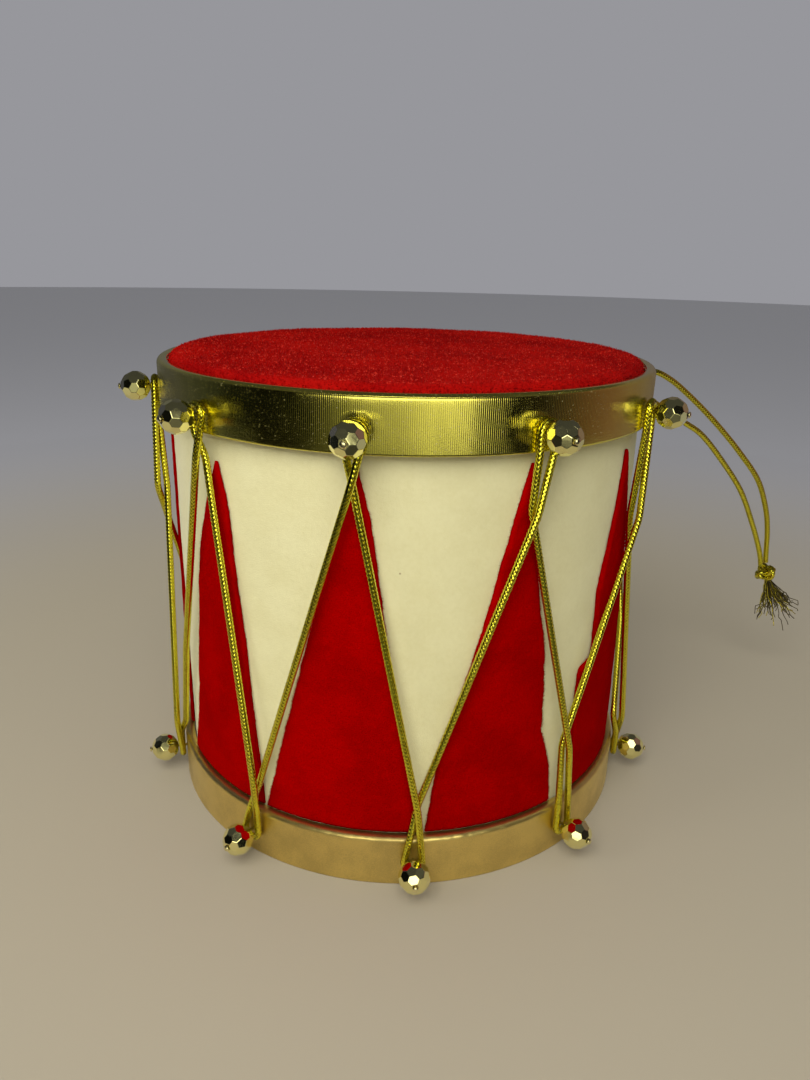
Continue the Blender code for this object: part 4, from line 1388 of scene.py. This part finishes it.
upper = turned("upper_ribbon_ribbed", ribbon_line(UPPER_EDGE, DRUM_HEIGHT, UPPER_SPACING),
               RIB_SAMPLES * RIB_COUNT, UPPER_LAME, upper_relief)
place_piece(upper, "drum", "upper_ribbon", "upper_hoop_ribbon")
lower = turned("lower_ribbon_satin", ribbon_line(0.0, LOWER_EDGE, LOWER_SPACING), LOWER_COLUMNS,
               LOWER_SATIN, lower_relief)
place_piece(lower, "drum", "lower_ribbon", "lower_hoop_ribbon")
for node, low, high in (("upper_pin_band", UPPER_EDGE, DRUM_HEIGHT), ("lower_pin_band", 0.0, LOWER_EDGE)):
    fold = RIBBON_THICKNESS + CLEARANCE
    corners = [(BAND_INNER, low + fold), (BAND_OUTER, low + fold), (BAND_OUTER, high - fold),
               (BAND_INNER, high - fold)]
    outline = along_line(corners + corners[:1], BAND_SPACING)[:-1]
    band = turned(node.replace("pin_band", "card_band"), outline, BAND_COLUMNS, CARD)
    place_piece(band, "drum", "card", node)
print("ribs", RIB_COUNT, "upper", triangles(upper), "lower", triangles(lower))

# %% [markdown]
# ## Beads and pins
# The beads are moulded with 42 facets: every corner of a once-divided
# icosahedron gives the direction of one. The facets meet in fine bevelled
# edges. A pin with a domed head goes through each bead into the foam.

# %% Beads and pins
SAME_FACET = math.radians(4)
FACET_BEVEL = 0.00007
BORE_RADIUS = 0.0007
BORE_SIDES = 16
PIN_SIDES = 16


def bead_body():
    """A 42-facet ball with bevelled edges, one five-sided facet towards +X."""
    rough = bmesh.new()
    bmesh.ops.create_icosphere(rough, subdivisions=2, radius=1.0)
    pole = next(vertex for vertex in rough.verts if len(vertex.link_edges) == 5)
    turn = pole.co.rotation_difference(Vector((1, 0, 0))).to_matrix()
    beside = turn @ pole.link_edges[0].other_vert(pole).co
    turn = Matrix.Rotation(math.atan2(beside.y, beside.z), 3, 'X') @ turn
    corners = []
    for face in rough.faces:
        planes = Matrix([(turn @ vertex.co).normalized() for vertex in face.verts])
        corners.append(planes.inverted() @ Vector((1, 1, 1)))
    rough.free()
    reach = max(corner.length for corner in corners)
    bm = bmesh.new()
    for corner in corners:
        bm.verts.new(corner * (BEAD_RADIUS / reach))
    bmesh.ops.convex_hull(bm, input=bm.verts)
    bmesh.ops.dissolve_limit(bm, angle_limit=SAME_FACET, verts=bm.verts, edges=bm.edges)
    bmesh.ops.bevel(bm, geom=bm.edges, offset=FACET_BEVEL, segments=1, affect='EDGES')
    bmesh.ops.recalc_face_normals(bm, faces=bm.faces)
    return mesh_of(bm, "bead")


def bored(mesh):
    """The bead with its bore cut through."""
    bm = bmesh.new()
    bmesh.ops.create_cone(bm, cap_ends=True, segments=BORE_SIDES, radius1=BORE_RADIUS, radius2=BORE_RADIUS,
                          depth=3 * BEAD_RADIUS, matrix=Matrix.Rotation(math.pi / 2, 4, 'Y'))
    ball = linked("ball", mesh)
    drill = linked("drill", mesh_of(bm, "drill"))
    cut = ball.modifiers.new("bore", 'BOOLEAN')
    cut.object = drill
    cut.solver = 'EXACT'
    made = plain_mesh(ball)
    for thing in (ball, drill):
        bpy.data.objects.remove(thing)
    return made


BEAD_SPIN_STEP = 79.0
PIN_OUTLINE = (
    (0.0, -PIN_LENGTH), (PIN_RADIUS, -PIN_LENGTH + 0.0012), (PIN_RADIUS, -0.0001), (PIN_HEAD_RADIUS, 0.0),
    (PIN_HEAD_RADIUS * 0.97, 0.00018), (PIN_HEAD_RADIUS * 0.8, 0.00034), (PIN_HEAD_RADIUS * 0.45, 0.00046),
    (0.0, PIN_HEAD_THICKNESS),
)
bead = bored(bead_body())
for prefix, pins in (("top", TOP_PINS), ("bottom", BOTTOM_PINS)):
    for index, pin in enumerate(pins):
        node = "bead_%s_%02d" % (prefix, index + 1)
        middle = Vector(JOINTS[node]["pos_m"])
        facing = Matrix.Rotation(math.radians(pin[0] - 90), 4, 'Z')
        spin = Matrix.Rotation(math.radians(BEAD_SPIN_STEP * index), 4, 'X')
        mesh = bead.copy()
        mesh.transform(Matrix.Translation(middle) @ facing @ spin)
        place_piece(show(node + "_faceted", mesh, BEAD_PLATING), node, "gold_bead", node)
        piece = turned("pin_%s_%02d" % (prefix, index + 1), PIN_OUTLINE, PIN_SIDES, PIN_PLATING,
                       closed=False)
        upright = Vector((0, 0, 1)).rotation_difference(outward(pin[0])).to_matrix().to_4x4()
        head = middle + outward(pin[0]) * (BEAD_FACE + CLEARANCE)
        piece.data.transform(Matrix.Translation(head) @ upright)
        place_piece(piece, "drum", "pin_metal")
print("bead", len(bead.polygons), "faces")

# %% [markdown]
# ## The underside
# A disc of red velvet closes the bottom, over the base card.

# %% Base cloth
BASE_CLOTH = 0.0006
BASE_SWELL = 0.00003
BASE_SPACING = 0.0015
BASE_COLUMNS = 120


def base_relief(points, angle, radius, height):
    return (grain(points, 0.009, 3) - 1) * BASE_SWELL * (height < BASE_CLOTH / 2)


outline = along_line([(0.0, 0.0), (WRAP_RADIUS - CHAMFER, 0.0)], BASE_SPACING)
outline += [(WRAP_RADIUS, CHAMFER), (WRAP_RADIUS - CHAMFER, BASE_CLOTH), (0.0, BASE_CLOTH)]
base = turned("base_cloth_velvet", outline, BASE_COLUMNS, RED_VELVET, base_relief, closed=False)
place_piece(base, "drum", "red_velvet", "base_cloth")
print("base cloth", triangles(base))

# %% [markdown]
# ## Stage and light
# The floor is plain and pale and fades towards the backdrop's colour. A large
# softbox hangs above and in front, and a small one stands at the left. Metal
# shows what is round it, so a screen round the drum, seen by reflections alone,
# gives it a dark room with one bright opening in front and strips overhead, as
# the ribbon in the photograph shows. The screen, the glowing strips and a dark
# apron on the floor are painted reflections: they darken or brighten only what
# metal reflects, and light nothing else.

# %% Stage and light
BACKDROP = colour(151, 151, 156)
FLOOR = (0.38, 0.335, 0.245, 1.0)
FLOOR_CLOUD = (0.34, 0.30, 0.22, 1.0)
FLOOR_FAR = (0.40, 0.40, 0.42, 1.0)
FLOOR_FADE = (0.15, 0.50)
FLOOR_RADIUS = 3.0
STAGE_SIDES = 96


def floor_finish(board):
    place = board.place()
    cloud = board.noise(place, 0.12, 2)
    near = board.blend(cloud * 0.3, FLOOR, FLOOR_CLOUD)
    far = board.step(board.reach(place), *FLOOR_FADE)
    return {"Base Color": board.blend(far, near, FLOOR_FAR), "Roughness": 0.75}


bm = bmesh.new()
bmesh.ops.create_circle(bm, cap_ends=True, segments=STAGE_SIDES, radius=FLOOR_RADIUS)
floor = show("floor", mesh_of(bm, "floor"), finish("floor", floor_finish, **{"Specular IOR Level": 0.2}))
floor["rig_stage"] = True

# The screen's colours by angle: a painted reflection of a dark room with one bright opening.
SCREEN_STOPS = (
    (0.00, (0.12, 0.11, 0.12)), (0.10, (0.11, 0.11, 0.10)), (0.17, (0.065, 0.065, 0.12)),
    (0.27, (0.03, 0.035, 0.05)), (0.29, (0.003, 0.003, 0.003)), (0.395, (0.004, 0.004, 0.004)),
    (0.432, (0.10, 0.10, 0.09)), (0.469, (0.42, 0.41, 0.32)), (0.500, (0.36, 0.35, 0.29)),
    (0.531, (0.80, 0.78, 0.64)), (0.560, (1.02, 1.00, 0.88)), (0.572, (0.80, 0.78, 0.68)),
    (0.578, (0.003, 0.003, 0.003)), (0.650, (0.003, 0.003, 0.003)), (0.683, (0.055, 0.045, 0.055)),
    (0.713, (0.10, 0.05, 0.055)), (0.76, (0.17, 0.09, 0.12)), (0.80, (0.18, 0.13, 0.13)),
    (1.00, (0.12, 0.11, 0.12)),
)
SCREEN_OUTLINE = ((0.5, 0.001), (0.5, 0.40), (0.001, 0.52))
# A dark dome over the screen and a bright band in its opening: painted reflections of the room and its lamps.
DOME_DARK = (0.045, 0.045, 0.05, 1.0)
DOME_START = (0.395, 0.405)
REFLECTED_LAMP_BRIGHT = (2.6, 2.55, 2.2, 1.0)
REFLECTED_LAMP_TURN = (0.43, 0.44, 0.57, 0.58)
REFLECTED_LAMP_HEIGHT = (0.13, 0.15, 0.33, 0.34)


def opening(board, value, edges):
    """1 from the second edge to the third, and 0 before the first and after the last."""
    return board.step(value, *edges[:2]) * (1 - board.step(value, *edges[2:]))


def screen_material():
    made = bpy.data.materials.new("screen")
    made.use_nodes = True
    board = Board(made.node_tree)
    made.node_tree.nodes.remove(made.node_tree.nodes["Principled BSDF"])
    axis = board.axes(board.place())
    turn = board.math("ARCTAN2", axis["X"], 0 - axis["Y"]) / (2 * math.pi) + 0.5
    ramp = board.node("ShaderNodeValToRGB", {"Fac": turn}, stops=SCREEN_STOPS)
    lamp_reflection = opening(board, turn, REFLECTED_LAMP_TURN) * opening(board, axis["Z"], REFLECTED_LAMP_HEIGHT)
    ramp = board.blend(lamp_reflection, ramp, REFLECTED_LAMP_BRIGHT)
    ramp = board.blend(board.step(axis["Z"], *DOME_START), ramp, DOME_DARK)
    glow = board.node("ShaderNodeEmission", {"Color": ramp, "Strength": 1.0})
    made.node_tree.links.new(glow.output, made.node_tree.nodes["Material Output"].inputs["Surface"])
    return made


# A dark apron under the drum and glowing strips overhead, seen only in reflections: painted reflections.
DARK_REFLECTION_COLOUR = {"Base Color": (0.015, 0.014, 0.012, 1.0)}
REFLECTION_GLOW = {"Emission Color": (1.0, 0.98, 0.92, 1.0), "Emission Strength": 2.2, "Base Color": (0, 0, 0, 1)}
CEILING = 0.44
SHEETS = (
    ("apron", (-1.2, 1.2), (-1.2, -0.115), 0.0004, DARK_REFLECTION_COLOUR),
    ("reflected_ceiling_front", (-0.32, 0.26), (-0.43, -0.27), CEILING, REFLECTION_GLOW),
    ("reflected_ceiling_left", (-0.40, -0.33), (-0.14, 0.10), CEILING, REFLECTION_GLOW),
    ("reflected_ceiling_right", (0.33, 0.38), (-0.18, 0.06), CEILING, REFLECTION_GLOW),
)


def level_sheet(name, width, depth, height, values):
    """A level rectangle: the dark apron on the floor or a bright strip overhead, a painted dark or bright
    reflection.
    """
    corners = [(width[0], depth[0], height), (width[1], depth[0], height),
               (width[1], depth[1], height), (width[0], depth[1], height)]
    mesh = bpy.data.meshes.new(name)
    mesh.from_pydata(corners, [], [(0, 1, 2, 3)])
    return show(name, mesh, finish(name, lambda board: {}, **values))


screen = turned("screen", SCREEN_OUTLINE, STAGE_SIDES, screen_material(), closed=False)
for thing in (screen, *(level_sheet(*sheet) for sheet in SHEETS)):
    for way in ("camera", "diffuse", "shadow", "transmission", "volume_scatter"):
        setattr(thing, "visible_" + way, False)
    thing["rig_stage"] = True


SOFTBOXES = (
    ("key", (-0.60, -0.31, 0.42), (0, 0, 0.06), 0.20, 0.7, (1.0, 0.985, 0.95)),
    ("fill", (-0.10, -0.51, 0.56), (0, 0, 0.07), 0.50, 4.7, (1.0, 0.985, 0.96)),
)
ROOM_LOW = (0.13, 0.13, 0.15, 1.0)
ROOM_HIGH = (0.60, 0.60, 0.60, 1.0)


def softbox(name, place, target, size, power, tint):
    data = bpy.data.lights.new(name, 'AREA')
    data.shape = 'SQUARE'
    data.size = size
    data.energy = power
    data.color = tint
    lamp = linked(name, data)
    lamp.visible_glossy = False
    aim = (Vector(target) - Vector(place)).to_track_quat('-Z', 'Y')
    lamp.matrix_world = Matrix.Translation(Vector(place)) @ aim.to_matrix().to_4x4()


for box in SOFTBOXES:
    softbox(*box)

world = bpy.data.worlds.new("room")
bpy.context.scene.world = world
world.use_nodes = True
board = Board(world.node_tree)
paths = board.node("ShaderNodeLightPath")
seen = board.math("MAXIMUM", paths["Is Camera Ray"], paths["Is Glossy Ray"])
seen = board.math("MAXIMUM", seen, paths["Is Transmission Ray"])
up = board.axes(board.node("ShaderNodeTexCoord", output="Generated"))["Z"]
room = board.blend(board.step(up, 0.1, 0.95), ROOM_LOW, ROOM_HIGH)
world.node_tree.links.new(board.blend(seen, room, BACKDROP).output,
                          world.node_tree.nodes["Background"].inputs["Color"])
bpy.context.scene.view_settings.view_transform = 'Standard'
print("stage set")

# %% [markdown]
# ## Sizes
# The CAD box and the box of what shows are printed.

# %% Sizes and finish


def shown_box():
    low = np.full(3, np.inf)
    high = np.full(3, -np.inf)
    for thing in bpy.context.scene.objects:
        if thing.type != 'MESH' or thing.hide_render or thing.get("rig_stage"):
            continue
        points = np.empty(len(thing.data.vertices) * 3)
        thing.data.vertices.foreach_get("co", points)
        points = points.reshape(-1, 3)
        low = np.minimum(low, points.min(0))
        high = np.maximum(high, points.max(0))
    return [low.tolist(), high.tolist()]


sizes = {"cad": [list(corner) for corner in CAD_BOX],
         "bounds": [list(corner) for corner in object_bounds()], "shown": shown_box()}
print(sizes)
shown = [thing for thing in bpy.context.scene.objects if thing.type == 'MESH' and not thing.hide_render]
print("pieces", len(shown))
